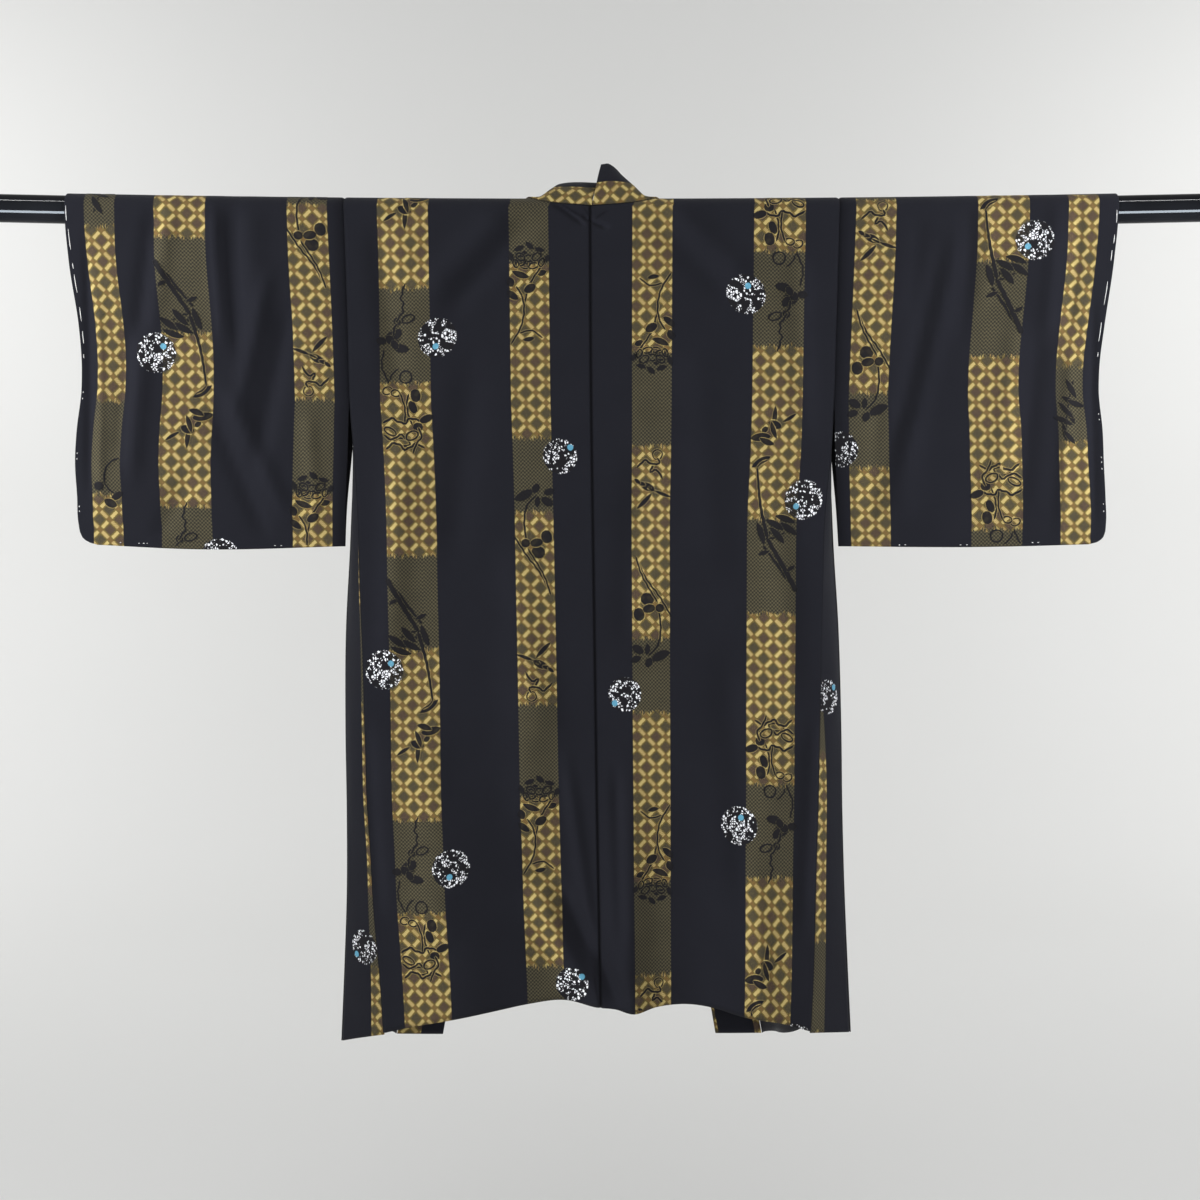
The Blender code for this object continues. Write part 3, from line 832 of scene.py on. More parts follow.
# Where the cloth's own u lies at a body row's outer and inner edges. Past the shoulder the
# panel is cut back to the neckline and the front's edge, so u ends where the width does.
def bodyEdges(side, length):
    share = np.clip((np.abs(length) - quarter) / fullDrop, 0, 1)
    outer = topToHem(body, "uOuter", share)
    inner = topToHem(body, "uInner", share)
    over = cloth["uNeck"] - np.maximum(read(neckEdge, "angle", side, overAngle(length)), 0)
    front = read(frontSeam, "drop", "cut", np.maximum(length - quarter, 0))
    cutBack = outer + body["stretch"] * np.where(length > quarter, front, over)
    return outer, np.where(length < -quarter, inner, cutBack)


# The drift of the pattern along the cloth: up near the centre seam, and down where the hem's
# outer part takes up some cloth.
def bodyShift(side, length, x):
    span = body["shiftFrom"] - body["shiftTo"]
    atSeam = body["seamShift"] * ease((body["shiftFrom"] - np.abs(x)) / span)
    atHem = ease((-length - takenUp["from"]) / takenUp["over"])
    atHem = atHem * ease((np.abs(x) - takenUp["outFrom"]) / takenUp["outOver"])
    return atSeam - takenUp[side] * atHem


# The cloth's own (u, v) on a body panel; the right panel is the same cloth turned round.
def bodyCloth(side, length, across, x):
    outer, inner = bodyEdges(side, length)
    v = body["vTop"][side] + body["vWay"][side] * (bodyShift(side, length, x) - length)
    return outer + (inner - outer) * across, v


# The other way: (length, across) for a (u, v), by four rounds of correcting the drift.
def bodyPlace(side, u, v):
    down = -body["vWay"][side] * (v - body["vTop"][side])
    length, across = down, 0 * u
    for _ in range(4):
        outer, inner = bodyEdges(side, length)
        across = (u - outer) / (inner - outer)
        x = bodyPoint(side, length, np.clip(across, 0, 1))[..., 0]
        length = down + bodyShift(side, length, x)
    return length, across


# Fold shading of a body panel: the back's folds and creases, or the front's creases.
def bodyShade(side, length, x, z):
    def behind(x, z):
        grown = ease((-z - body["foldsFrom"]) / body["foldsOver"])
        return creases(backCreases, x, z) + backDepth(x, np.maximum(-z, 0)) * grown

    def ahead(x, z):
        return creases(frontCreases, np.abs(x), z)

    return foldShade(length, behind, ahead, x, z)


# A body panel: rows up the back from its hem, over the rod and down the front, with painted shade
# along its seam, its outer edge and its sharpest creases, and painted fold light and shade.
def buildBody(side):
    across = columns(body["columns"])
    share = np.linspace(1, 0, body["backRows"])[:-1, None] ** body["rowPower"]
    drop = share * fullDrop + 0 * across
    for _ in range(4):
        drop = share * read(backHem, "x", "drop", backPoint(side, drop, across)[..., 0])
    back = -(drop + quarter)
    over = np.linspace(-quarter, quarter, body["wrapRows"])[:, None] + 0 * across
    share = np.linspace(0, 1, body["frontRows"])[1:, None]
    front = share * read(frontHem, "place", side, across) + quarter
    length = np.concatenate([back, over, front])
    across = across + 0 * length
    flat = bodyPoint(side, length, across)
    x, z = flat[..., 0], flat[..., 2]
    grid = sagged(flat)
    cloths = bodyCloth(side, length, across, x)
    piece = clothPiece("body_panel_" + side, side, grid, *cloths, cloth["thickness"])
    # painted shade: darker along the centre seam's groove, the outer edge and the sharp creases' troughs
    edges = body["dark"]
    width = np.abs(x[:, -1:] - x[:, :1])
    seamed = 1 - ease(read(neckEdge, "angle", side, overAngle(length)) / edges["neck"])
    seam = np.exp(-(((1 - across) * width / edges["seamWidth"]) ** 4)) * seamed * (length < 0)
    edge = np.exp(-((across * width / edges["edgeWidth"]) ** 2))
    dark = np.maximum(edges["seam"] * seam, edges["edge"] * edge)
    dark = np.maximum(dark, creases(paintedCreaseShade, x, z) * (length < body["creaseShadeTo"]))
    setNumbers(piece, "paintedShade", dark)
    setNumbers(piece, "paintedFoldLight", bodyShade(side, length, x, z))
    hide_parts("body_" + side)
    return piece, gridArea(grid)


bodies = {side: buildBody(side) for side in sides}
print("body panels made")

# Sleeves: folded at the top, u and v as on the body panels
sleeve = {
    "columns": 70,
    "rows": 86,
    "wrapRows": 16,
    "flat": (0.345, 0.90),
    "cuffOpening": 225.0,
    "closing": 90.0,
    "leaving": 60.0,
    "sag": 4.0,
    "cornerFrom": 389.0,
    "bottom": 414.0,
    "shut": 0.62,
    "mirror": 947.0,
    "dipPast": 20.0,
    "dipOver": 30.0,
    "flatEdge": 22.0,
    "flatSeam": 30.0,
    "creasesOver": 30.0,
    "creasesLeast": 0.3,
    "overCreases": 0.4,
    "rowPower": 1.15,
    # painted shade along the inner edge of the sleeve's back, next to the armhole
    "dark": 0.55,
    "paintedShadeWidth": 13.0,
    "uOuterTop": 0.0,
    "uOuterHem": 5.0,
    "uInnerTop": 341.0,
    "uInnerHem": 337.0,
    "vTop": {"left": 263.0, "right": 540.0},
    "vWay": {"left": 1, "right": -1},
}
cuffEdge = {
    "drop": (-19, 71, 145, 193, 225, 273, 312, 354, 389, 401, 408, 412, 414),
    "left": (647, 643.5, 635, 633.5, 635.5, 642, 644.5, 642.5, 641, 638.5, 634, 627, 618),
    "right": (646.5, 642, 634, 630, 630.5, 636, 638, 640.5, 641.5, 640, 636, 629, 620),
}
sleeveInner = {
    "drop": (234, 295, 357, 414),
    "left": (299, 302, 306.5, 308.5),
    "right": (298.5, 300.5, 304.8, 308),
}
sleeveBottom = {
    "place": (0, 0.4, 1),
    "left": (414.5, 418, 412),
    "right": (414, 415, 412),
}
# Creases of a sleeve's back, x measured outwards from the middle of the jacket
sleeveCreases = {
    "left": {
        "x0": (464, 440, 418, 397, 373, 450, 468, 621, 606, 551, 572, 538, 518, 350, 500),
        "z0": (-4, -6, -2, -85, -126, -220, -250, -58, -120, -165, -150, -5, -6, -250, -330),
        "x1": (450, 436, 410, 436, 417, 383, 410, 627, 612, 571, 588, 558, 536, 344, 540),
        "z1": (-152, -170, -150, -246, -314, -367, -392, -326, -350, -326, -300, -152, -140, -390, -400),
        "width": (9, 10, 16, 11, 13, 12, 11, 6, 6, 12, 10, 10, 9, 10, 12),
        "height": (3.6, -3.1, 1.9, 3.2, -3.1, 3.1, -2.4, -2.2, 1.9, 3.1, -2.2, -2.5, 2, 1.9, -1.9),
    },
    "right": {
        "x0": (424, 446, 390, 352, 545, 520, 571, 596, 618, 592, 486, 462, 400),
        "z0": (-58, -50, -260, -240, -165, -140, -5, -8, -125, -180, -4, -8, -20),
        "x1": (363, 392, 385, 346, 532, 506, 559, 588, 626, 585, 478, 452, 392),
        "z1": (-326, -300, -370, -380, -354, -330, -152, -140, -380, -395, -120, -150, -130),
        "width": (12, 12, 20, 12, 14, 12, 12, 8, 7, 9, 11, 12, 12),
        "height": (2.9, -2.7, -2.9, 2.4, 3.1, -2.4, -2.7, 2, 2.2, -2.7, -2.2, 2, 1.7),
    },
}


# Half of a sleeve's depth: open at the cuff and at the armhole, shut at its seams.
def sleeveHalfDepth(across, drop, width, bottom):
    shut = sleeve["shut"]
    hang = 1 - ease((drop - armhole) / (bottom - armhole))
    innerEdge = shut + (wrap - shut) * hang
    middle = shut + (wrap + sleeve["sag"] - shut) * (1 - (drop / bottom) ** 2)
    cuff = shut + (wrap - shut) * np.clip(1 - drop / sleeve["cuffOpening"], 0, 1)
    depth = cuff + (middle - cuff) * ease(across * width / sleeve["closing"])
    depth = innerEdge + (depth - innerEdge) * ease((1 - across) * width / sleeve["closing"])
    return wrap + (depth - wrap) * ease(drop / sleeve["leaving"])


# A sleeve's point by the length of cloth from its top fold, as on a body panel.
def sleevePoint(side, length, across):
    length, across = np.broadcast_arrays(np.asarray(length, float), across)
    sign = sides[side]
    drop = np.maximum(np.abs(length) - quarter, 0)
    turn = np.clip(length / wrap, -math.pi / 2, math.pi / 2)
    height = np.where(drop > 0, -drop, wrap * np.cos(turn))
    outer = read(cuffEdge, "drop", side, -height)
    inner = outerEdge(sleeveInner, side, -height) + cloth["seamGap"] / 2
    x = outer + (inner - outer) * across
    width = outer - inner
    bottom = read(sleeveBottom, "place", side, across)
    half = sleeveHalfDepth(across, drop, width, bottom)
    dip = edgeDip((1 - across) * width) * ease((armhole + sleeve["dipPast"] - drop) / sleeve["dipOver"])
    grown = ease(drop / sleeve["creasesOver"] + sleeve["creasesLeast"])
    for reach in (across * width, bottom - drop):
        grown = grown * ease(reach / sleeve["flatEdge"])
    grown = grown * ease((1 - across) * width / sleeve["flatSeam"])
    placed = np.where(length < 0, x, sleeve["mirror"] - x)
    raised = creases(sleeveCreases[side], placed, -drop) * grown
    least = sleeve["shut"] - half
    raised = np.where(drop > 0, np.maximum(raised, least), raised * sleeve["overCreases"])
    y = np.where(drop > 0, (half + raised - dip) * np.sign(length), (wrap + raised - dip) * np.sin(turn))
    z = np.where(drop > 0, -drop, (wrap + raised - dip) * np.cos(turn))
    return stacked(sign * x, y, z)


# Where the cloth's own u lies at a sleeve row's outer and inner edges; the outer edge moves in
# round the sleeve's lower corner.
def sleeveEdges(side, length):
    drop = np.maximum(np.abs(length) - quarter, 0)
    share = np.minimum(drop / sleeve["bottom"], 1)
    whole = sleeve["cornerFrom"]
    edges = read(cuffEdge, "drop", side, whole), read(cuffEdge, "drop", side, np.maximum(drop, whole))
    outer = topToHem(sleeve, "uOuter", share) + np.maximum(edges[0] - edges[1], 0)
    return outer, topToHem(sleeve, "uInner", share)


# The cloth's own (u, v) on a sleeve.
def sleeveCloth(side, length, across):
    outer, inner = sleeveEdges(side, length)
    v = sleeve["vTop"][side] - sleeve["vWay"][side] * length
    return outer + (inner - outer) * across, v


# The other way: (length, across) for a (u, v).
def sleevePlace(side, u, v):
    length = sleeve["vWay"][side] * (sleeve["vTop"][side] - v)
    outer, inner = sleeveEdges(side, length)
    return length, (u - outer) / (inner - outer)


# Fold shading of a sleeve, from its creases.
def sleeveShade(side, length, x, z):
    table, sign = sleeveCreases[side], sides[side]

    def behind(x, z):
        return creases(table, sign * x, z)

    def ahead(x, z):
        return creases(table, sleeve["mirror"] - sign * x, z)

    return foldShade(length, behind, ahead, x, z)


# A sleeve: rows from the bottom of its back over the top fold to the bottom of its front.
def buildSleeve(side):
    across = columns(sleeve["columns"])
    share = np.linspace(0, 1, sleeve["rows"])[1:]
    share = (1 - (1 - share) ** sleeve["rowPower"])[:, None]
    drop = share * read(sleeveBottom, "place", side, across) + quarter
    over = np.linspace(-quarter, quarter, sleeve["wrapRows"])[:, None] + 0 * across
    length = np.concatenate([-drop[::-1], over, drop])
    across = across + 0 * length
    flat = sleevePoint(side, length, across)
    grid = sagged(flat)
    name = "sleeve_" + side
    cloths = sleeveCloth(side, length, across)
    piece = clothPiece(name + "_cloth", side, grid, *cloths, cloth["thickness"])
    setNumbers(piece, "paintedFoldLight", sleeveShade(side, length, flat[..., 0], flat[..., 2]))
    # painted shade: a dark strip along the inner edge of the sleeve's back, where the armhole's shadow
    # falls
    width = np.abs(flat[:, -1:, 0] - flat[:, :1, 0])
    dark = np.exp(-(((1 - across) * width / sleeve["paintedShadeWidth"]) ** 2)) * (length < 0)
    setNumbers(piece, "paintedShade", sleeve["dark"] * dark)
    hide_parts(name)
    return piece, gridArea(grid)


sleeves = {side: buildSleeve(side) for side in sides}
print("sleeves made")

# Gussets, between back and front below the armholes
gusset = {
    "columns": 14,
    "rows": 150,
    "flat": (0.082, 0.762),
    "top": 289.0,
    "bulge": 3.0,
    "ripple": 1.2,
    "ripples": 17.0,
    "inset": 1.2,
    "tuck": 1.7,
    "frontInset": 1.5,
    "crowd": 0.3,
    "lap": 2.4,
    "vFrom": 1022.0,
    "backHem": {"left": 1022.0, "right": 1020.0},
    "frontHem": {"left": 1043.0, "right": 1032.0},
    "vHem": {"left": 111.3, "right": 640.3},
    "vWay": {"left": -1, "right": 1},
}
gussetSeamU = {
    "drop": (289, 560, 700, 850, 1040),
    "left": (322, 316, 314, 312, 300),
    "right": (333, 321, 306, 303, 298),
}


# The wedge between the back's side edge and the front's, with a slight outward bulge.
def gussetPoint(side, share, across):
    sign, top = sides[side], gusset["top"]
    backDrop = top + share * (gusset["backHem"][side] - top)
    frontDrop = top + share * (gusset["frontHem"][side] - top)
    seamX = sign * outerEdge(sideEdge, side, backDrop)
    startX = seamX - sign * gusset["inset"]
    startY = gusset["tuck"] - backDepth(seamX, backDrop) - creases(backCreases, seamX, -backDrop)
    endX = sign * (outerEdge(frontEdge, side, frontDrop) - gusset["frontInset"])
    endY = wrap - gusset["lap"] + creases(frontCreases, sign * endX, -frontDrop)
    ripple = gusset["ripple"] * np.sin(share * gusset["ripples"] + sign) * ease(share * 4)
    bow = sign * np.sin(math.pi * across) * (gusset["bulge"] + ripple)
    x = startX + (endX - startX) * across + bow
    y = startY + (endY - startY) * across
    return stacked(x, y, -(backDrop + (frontDrop - backDrop) * across))


# A gusset: its u runs on from the body panel's edge by the width of cloth.
def buildGusset(side):
    across = columns(gusset["columns"], gusset["crowd"])[None, :]
    share = np.linspace(0, 1, gusset["rows"])[:, None]
    grid = gussetPoint(side, share, across)
    drop = -grid[..., 2]
    u = read(gussetSeamU, "drop", side, drop) + gone(grid.swapaxes(0, 1)).T
    v = gusset["vWay"][side] * (drop - gusset["vFrom"]) + gusset["vHem"][side]
    grid = sagged(grid)
    name = "gusset_" + side
    piece = clothPiece(name + "_cloth", side, grid, u, v, cloth["thickness"])
    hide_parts(name)
    return piece, gridArea(grid)


gussets = {side: buildGusset(side) for side in sides}
print("gussets made")

# Collar: one folded band for each half
collar = {
    "width": 60.0,
    "neckRows": 56,
    "neckPower": 1.5,
    "layerColumns": 16,
    "foldColumns": 7,
    "frontRows": 190,
    "layer": 1.0,
    "spread": 0.66,
    "gap": 0.9,
    "lift": 1.6,
    "flatDrop": 130.0,
    "skewReach": 26.0,
    "skew": {"left": 10.0, "right": 11.0},
    "clear": 0.3,
    "puff": 0.45,
    "steps": 120,
    "vMiddle": {"left": 430.0, "right": 350.0},
}
neckBand = {
    "angle": (19, 24, 30, 38, 50, 68, 90, 120, 150, 180),
    "heading": (90, 88, 82, 66, 52, 36, 24, 14, 8, 4),
    "left_start": (80, 79, 73, 62, 32, 10, 4, 4, 8, 10),
    "left_end": (2, 2, -1, -11, -26, -25, -20, -12, -4, 0),
    "right_start": (86, 86, 82, 72, 42, 12, 4, 4, 8, 10),
    "right_end": (52, 50, 20, 0, -18, -24, -20, -12, -4, 0),
}
# Where the band's fold lies across the cloth, by the distance along the band
foldU = {
    "along": (0, 160, 600, 1200),
    "left": (95, 92, 84, 80),
    "right": (92, 88, 68, 57),
}


# Seams, headings and rises of the band's rows round the neck, just clear of the neckline.
def neckRows(side, angle):
    sign = sides[side]
    neck = read(neckEdge, "angle", side, angle)
    run = (read(neckEdge, "angle", side, angle + 0.5) - neck) * 2
    rise = wrap * math.pi / 180
    length = np.hypot(run, rise)
    x = np.maximum(neck - collar["gap"] * rise / length, 0.0)
    turn = np.radians(angle + collar["gap"] * run / length / rise)
    radius = wrap + collar["lift"] * np.sin(turn)
    x = sign * (x + collar["clear"])
    seam = stacked(x, -radius * np.cos(turn), radius * np.sin(turn))
    heading, start, end = (
        read(neckBand, "angle", column, angle) for column in ("heading", side + "_start", side + "_end")
    )
    skew = collar["skew"][side] * ease(1 - neck / collar["skewReach"])
    return seam, heading, start, end, skew


# The same down the front, where the band lies flat beside the front's edge.
def frontRows(side, share):
    sign = sides[side]
    drop = share * read(frontHem, "place", side, 1)
    seam = frontPoint(side, drop, np.ones_like(drop))
    seam[:, 0] -= sign * collar["gap"]
    leaning = 1 - ease(drop / collar["flatDrop"])
    heading, start = (neckBand[column][-1] * leaning for column in ("heading", side + "_start"))
    return seam, heading, start, 0 * drop, 0 * drop


# The folded band: a row rises from start to end degrees on its way from seam to fold, and its
# two layers run at half a layer's spread to either side, joined by a round fold.
def bandGrid(side):
    sign, wide, steps = sides[side], collar["width"], collar["steps"]
    first, last = neckBand["angle"][0], neckBand["angle"][-1]
    angle = first + (last - first) * np.linspace(0, 1, collar["neckRows"]) ** collar["neckPower"]
    share = np.linspace(0, 1, collar["frontRows"])[1:]
    rows = [np.concatenate(pair) for pair in zip(neckRows(side, angle), frontRows(side, share))]
    seam, heading, start, end, skew = rows
    half = collar["spread"]
    bend = np.radians(np.linspace(-90, 90, collar["foldColumns"]))
    flat = 1 - half / wide
    out = np.linspace(0, flat, collar["layerColumns"])[:-1]
    share = np.concatenate([out, flat + half / wide * np.cos(bend), out[::-1]])
    puff = 1 + collar["puff"] * np.sin(math.pi * out)
    off = half * np.concatenate([puff, -np.sin(bend), -puff[::-1]])
    fine = (np.arange(steps) + 0.5) / steps
    rise = np.radians(start[:, None] + (end - start)[:, None] * fine)
    row, column = np.broadcast_arrays(np.arange(len(rise))[:, None] + 0.0, steps * share)
    level = between(running(np.cos(rise)) * wide / steps, row, column)
    up = between(running(np.sin(rise)) * wide / steps, row, column)
    turn = np.radians(heading)[:, None]
    x = seam[:, :1] - sign * np.cos(turn) * level + skew[:, None] * share
    y = seam[:, 1:2] + np.sin(turn) * level
    middle = stacked(x, y, seam[:, 2:3] + up)
    fold = middle[:, : share.argmax() + 1]  # past the fold the columns come back in the same places
    square = sign * unit(np.cross(np.gradient(fold, axis=0), np.gradient(fold, axis=1)))
    square = np.concatenate([square, square[:, -2::-1]], axis=1)
    return middle + square * off[:, None], share


# A half of the collar: u counts away from the fold on both of its layers, v along the band.
def buildCollar(side):
    grid, share = bandGrid(side)
    along = gone(grid[:, 0])[:, None]
    fold = read(foldU, "along", side, along)
    pastFold = np.arange(grid.shape[1]) > grid.shape[1] // 2
    away = (1 - share) * collar["width"]
    u = np.where(pastFold, fold + away, fold - away)
    v = collar["vMiddle"][side] + sides[side] * along
    grid = sagged(grid)
    name = "collar_" + side
    piece = clothPiece(name + "_band", side, grid, u, v, collar["layer"])
    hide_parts(name)
    return piece, gridArea(grid), float(along[-1, 0])


collars = {side: buildCollar(side) for side in sides}
print("collar made")

# Cord loops on the collar's fronts
loop = {"drop": 385.0, "cord": 2.6, "length": 13.0, "halfGap": 3.0, "turns": 28, "round": 14, "legs": 8}
# A cord's end: the least share of its section, and how fast it grows
cordEnd = {"least": 0.02, "taper": 30.0}
twist = {"perMm": 2.4, "depth": 0.07, "ridges": 3, "uStep": 0.6}


# A cord along a path: rings that stand square to it, of radius * (1 + depth cos(ridges a +
# twist s)) at the angle a and the distance s along it.
def tube(path, radius, around, depth=0.0):
    ahead = unit(np.gradient(path, axis=0))
    first = unit(np.cross(ahead, (0.0, 1.0, 0.0)))
    second = np.cross(ahead, first)
    turn = np.arange(around) * 2 * math.pi / around
    size = 1 + depth * np.cos(twist["ridges"] * turn + twist["perMm"] * gone(path)[:, None])
    size = (radius[:, None] * size)[..., None]
    ring = first[:, None] * np.cos(turn)[:, None] + second[:, None] * np.sin(turn)[:, None]
    return path[:, None] + ring * size


cordSilk = plainMaterial("loop_cord_silk", plain["cord"], 0.7, 0.8)


# A loop: out from the collar's fold, round a half circle and back.
def buildLoop(side):
    share = np.array([loop["drop"] / read(frontHem, "place", side, 1)])
    seam = frontRows(side, share)[0][0]
    gap = loop["halfGap"]
    reach = loop["length"] - gap - loop["cord"] / 2
    start = collar["width"] + collar["gap"]
    turns = np.linspace(0, math.pi, loop["turns"])
    legs = np.linspace(0, 1, loop["legs"])
    out = [legs[:-1] * reach, reach + gap * np.sin(turns), reach * (1 - legs[1:])]
    out = start + np.concatenate(out)
    high = np.concatenate([gap + 0 * legs[1:], gap * np.cos(turns), -gap + 0 * legs[1:]])
    path = stacked(seam[0] - sides[side] * out, seam[1], seam[2] + high)
    t = np.linspace(0, 1, len(path))
    section = np.clip(np.minimum(t, 1 - t) * cordEnd["taper"], cordEnd["least"], 1)
    radius = loop["cord"] / 2 * np.sqrt(section)
    rings = tube(path, radius, loop["round"], twist["depth"])
    u = np.arange(loop["round"]) * twist["uStep"]
    v = gone(path)[:, None]
    piece = gridMesh("cord_loop_" + side, sagged(rings), u, v, [cordSilk], closed=True)
    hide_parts("loop_" + side)
    return piece


for side in sides:
    buildLoop(side)
print("cord loops made")

# Ink figures: vines, bamboo, swallows, a peony and ribbon scrolls
drawing = {
    "margin": 0.9,
    "proud": 0.14,
    "thickness": 0.3,
    "stations": 13,
    "across": 5,
    "leafLength": 1.28,
    "leafWidth": 1.25,
    "leafBow": 0.24,
    "leafPoint": 0.45,
    "ringTurn": 2.08,
    "ringPoints": 30,
    "ringWobble": 0.05,
    "pen": 0.3,
    "penSwell": 0.15,
    "stemStep": 2.4,
    "stemPoints": 8,
    "stemWaver": 0.55,
    "stemLeast": 0.35,
    "stemGain": 1.15,
    "stemTip": 3.0,
    "turnedOver": 0.02,
    "stepLength": 0.4,
    "stepAcross": 0.001,
    "layers": 7,
    "layerStep": 0.03,
    "edge": 0.008,
    "hemGap": 2.5,
}
# Leaves, petals, berries and wings: middle, half length, half width, tilt in degrees (turning
# from u towards v), and how pointed they are (0 round, 1 a leaf)
leaves = {
    "u": (
        126, 122, 131, 111, 135, 128, 153, 149, 154, 165, 155, 134, 120, 137, 124, 158, 160, 152, 143,
        125, 144, 144, 155, 284, 298, 310, 275, 318, 291, 286, 312, 274, 276, 297, 295, 284, 299, 316,
        314, 302, 285, 299, 301, 312, 305, 301, 281, 309, 314, 33, 55, 47, 40, 41, 34, 49, 43,
        54, 53, 47, 150, 116,
    ),
    "v": (
        59, 63, 56, 64, 73, 69, 132, 146, 171, 161, 428, 426, 434, 439, 446, 516, 546, 542, 562,
        571, 556, 573, 556, 620, 617, 622, 630, 633, 626, 652, 650, 661, 677, 669, 74, 265, 257, 261,
        273, 274, 325, 324, 336, 317, 457, 474, 466, 478, 481, 633, 645, 654, 290, 274, 272, 263, 257,
        250, 237, 230, 404, 386,
    ),
    "length": (
        8, 5, 5.5, 5, 8.5, 5, 6.5, 6.5, 5, 7, 11, 10.5, 11.5, 10, 11, 11, 10, 8, 7,
        8, 9, 10, 3.5, 5.5, 5, 5, 5, 4, 3, 9, 5, 5, 7, 6.5, 6, 10.5, 5, 5.5,
        6.5, 5.5, 4.5, 6.5, 7, 6.5, 11, 8, 9, 5, 4, 5, 7, 7, 11, 11, 9, 11, 9,
        11, 9, 9, 6, 5,
    ),
    "width": (
        6.5, 4.5, 4.2, 4, 4.6, 3.8, 5.6, 4.2, 5, 4, 3.6, 3.4, 3.4, 3.3, 3.2, 3.4, 4.3, 3.0, 4.2,
        1.7, 2.4, 2.3, 2.6, 2.4, 2.6, 2.3, 2.4, 2.2, 1.8, 3.2, 3, 4, 3.5, 4.5, 2.2, 5, 4, 3.5,
        4.5, 2.8, 4.5, 4.5, 7, 6.3, 2.2, 4, 1.6, 2.0, 1.8, 4.6, 3.5, 4.5, 2.9, 2.7, 2.8, 2.7, 2.6,
        2.8, 2.5, 2.4, 2.0, 1.8,
    ),
    "angle": (
        -15, 40, -60, 5, 15, 60, 80, 70, 0, -20, 70, 47, 31, 30, 18, -32, -10, 200, 20,
        148, 250, 95, -40, -20, 40, 15, 65, -60, 0, 20, -15, 70, 40, -30, -10, -24, -60, -20,
        30, 95, 0, -10, 20, 80, 135, 25, 200, 15, 40, 0, -30, 25, 60, 25, 200, 45, 70,
        20, 80, 50, -20, 150,
    ),
    "point": (
        0.3, 0.3, 0.4, 0.7, 0.5, 0.4, 0, 0, 0, 0.2, 1, 1, 1, 1, 1, 1, 0.6, 1, 0.5,
        1, 1, 1, 0.2, 1, 1, 1, 1, 1, 0.6, 1, 0.8, 0.6, 0.8, 0.5, 1, 0.8, 0.7, 0.7,
        0.6, 0.9, 0, 0.2, 0, 0, 1, 0.5, 1, 1, 1, 0.3, 0.8, 0.6, 1, 1, 1, 1, 1,
        1, 1, 1, 1, 1,
    ),
}
# Rings and loops: middle, half length, half width, tilt, and the line's half width
rings = {
    "u": (145, 131, 141, 286, 289, 118, 128, 146, 133, 119, 296, 286, 306, 280, 312, 291, 302),
    "v": (38, 41, 109, 636, 514, 126, 129, 181, 189, 176, 633, 631, 631, 639, 638, 642, 642),
    "length": (8, 3.7, 7.5, 6, 6, 6, 5.5, 8, 10, 8, 5.5, 6, 6, 5, 5, 6, 6),
    "width": (4.5, 3.7, 7.5, 6, 6, 4.5, 4, 5, 4.5, 4, 4, 4, 4, 3.2, 3.2, 3.4, 3.4),
    "tilt": (-20, 0, 0, 0, 0, -20, 15, -25, 10, 30, 0, 35, -35, 70, -70, 10, -15),
    "line": (0.55, 0.5, 0.55, 0.7, 0.4, 0.5, 0.5, 0.7, 0.7, 0.7, 0.5, 0.5, 0.5, 0.5, 0.5, 0.5, 0.5),
}
# Stems and tendrils: half width at the start, at the end, how much they waver, and their points
stems = (
    (0.6, 0.6, 1.6, ((142, -5), (137, 10), (139, 26), (130, 42))),
    (0.6, 0.9, 0.5, ((131, 44), (127, 50), (126, 58))),
    (0.5, 0.5, 0.6, ((114, 76), (111, 95), (120, 117))),
    (0.5, 0.5, 0.5, ((132, 99), (125, 104), (121, 113))),
    (0.6, 0.6, 0.4, ((134, 129), (139, 146), (138, 165))),
    (0.7, 0.6, 0.4, ((153, 126), (145, 131), (142, 148), (147, 168))),
    (0.9, 0.8, 1.2, ((110, 166), (122, 160), (136, 166), (146, 160), (160, 165))),
    (0.9, 0.8, 1.2, ((112, 198), (124, 190), (138, 198), (150, 191), (161, 197))),
    (0.8, 0.7, 0.8, ((110, 180), (120, 186), (132, 180), (141, 186), (157, 182))),
    (0.8, 0.6, 0.6, ((154, 171), (158, 181), (150, 193), (146, 203))),
    (2.5, 1.6, 0.3, ((108, 357), (128, 392), (146, 422))),
    (1.6, 0.7, 0.3, ((146, 424), (155, 458), (163, 509))),
    (1.2, 0.8, 0.3, ((121, 373), (136, 394), (151, 413))),
    (0.6, 0.5, 0.2, ((146, 422), (134, 424), (124, 430))),
    (0.6, 0.5, 0.2, ((148, 420), (140, 434), (128, 443))),
    (0.5, 0.5, 0.2, ((163, 509), (160, 513), (150, 519))),
    (0.6, 0.6, 0.4, ((313, 641), (297, 665), (288, 698))),
    (0.6, 0.6, 0.4, ((280, 667), (286, 676), (289, 686), (286, 715), (273, 737))),
    (0.5, 0.5, 0.3, ((284, 724), (299, 721), (312, 730))),
    (0.6, 0.7, 0.3, ((300, 266), (289, 277), (284, 298), (286, 321))),
    (0.6, 0.6, 0.5, ((270, 315), (286, 340), (303, 362), (316, 389))),
    (0.6, 0.6, 0.4, ((288, 332), (309, 368), (316, 389))),
    (0.8, 0.5, 0.2, ((301, 474), (284, 466), (273, 463))),
    (0.8, 0.8, 0.9, ((282, 484), (290, 495), (297, 493), (293, 503), (285, 505))),
    (0.8, 0.8, 0.9, ((289, 510), (286, 505), (293, 502), (304, 507), (315, 498))),
    (0.6, 0.6, 0.4, ((60, 599), (50, 603), (43, 612), (40, 630))),
    (0.5, 0.5, 0.3, ((40, 630), (46, 638), (55, 645))),
    (0.5, 0.5, 0.2, ((36, 300), (41, 280), (48, 255), (51, 232))),
)


# The unit vectors square to a path of (u, v).
def squareTo(path):
    ahead = unit(np.gradient(path, axis=0))
    return stacked(-ahead[:, 1], ahead[:, 0])


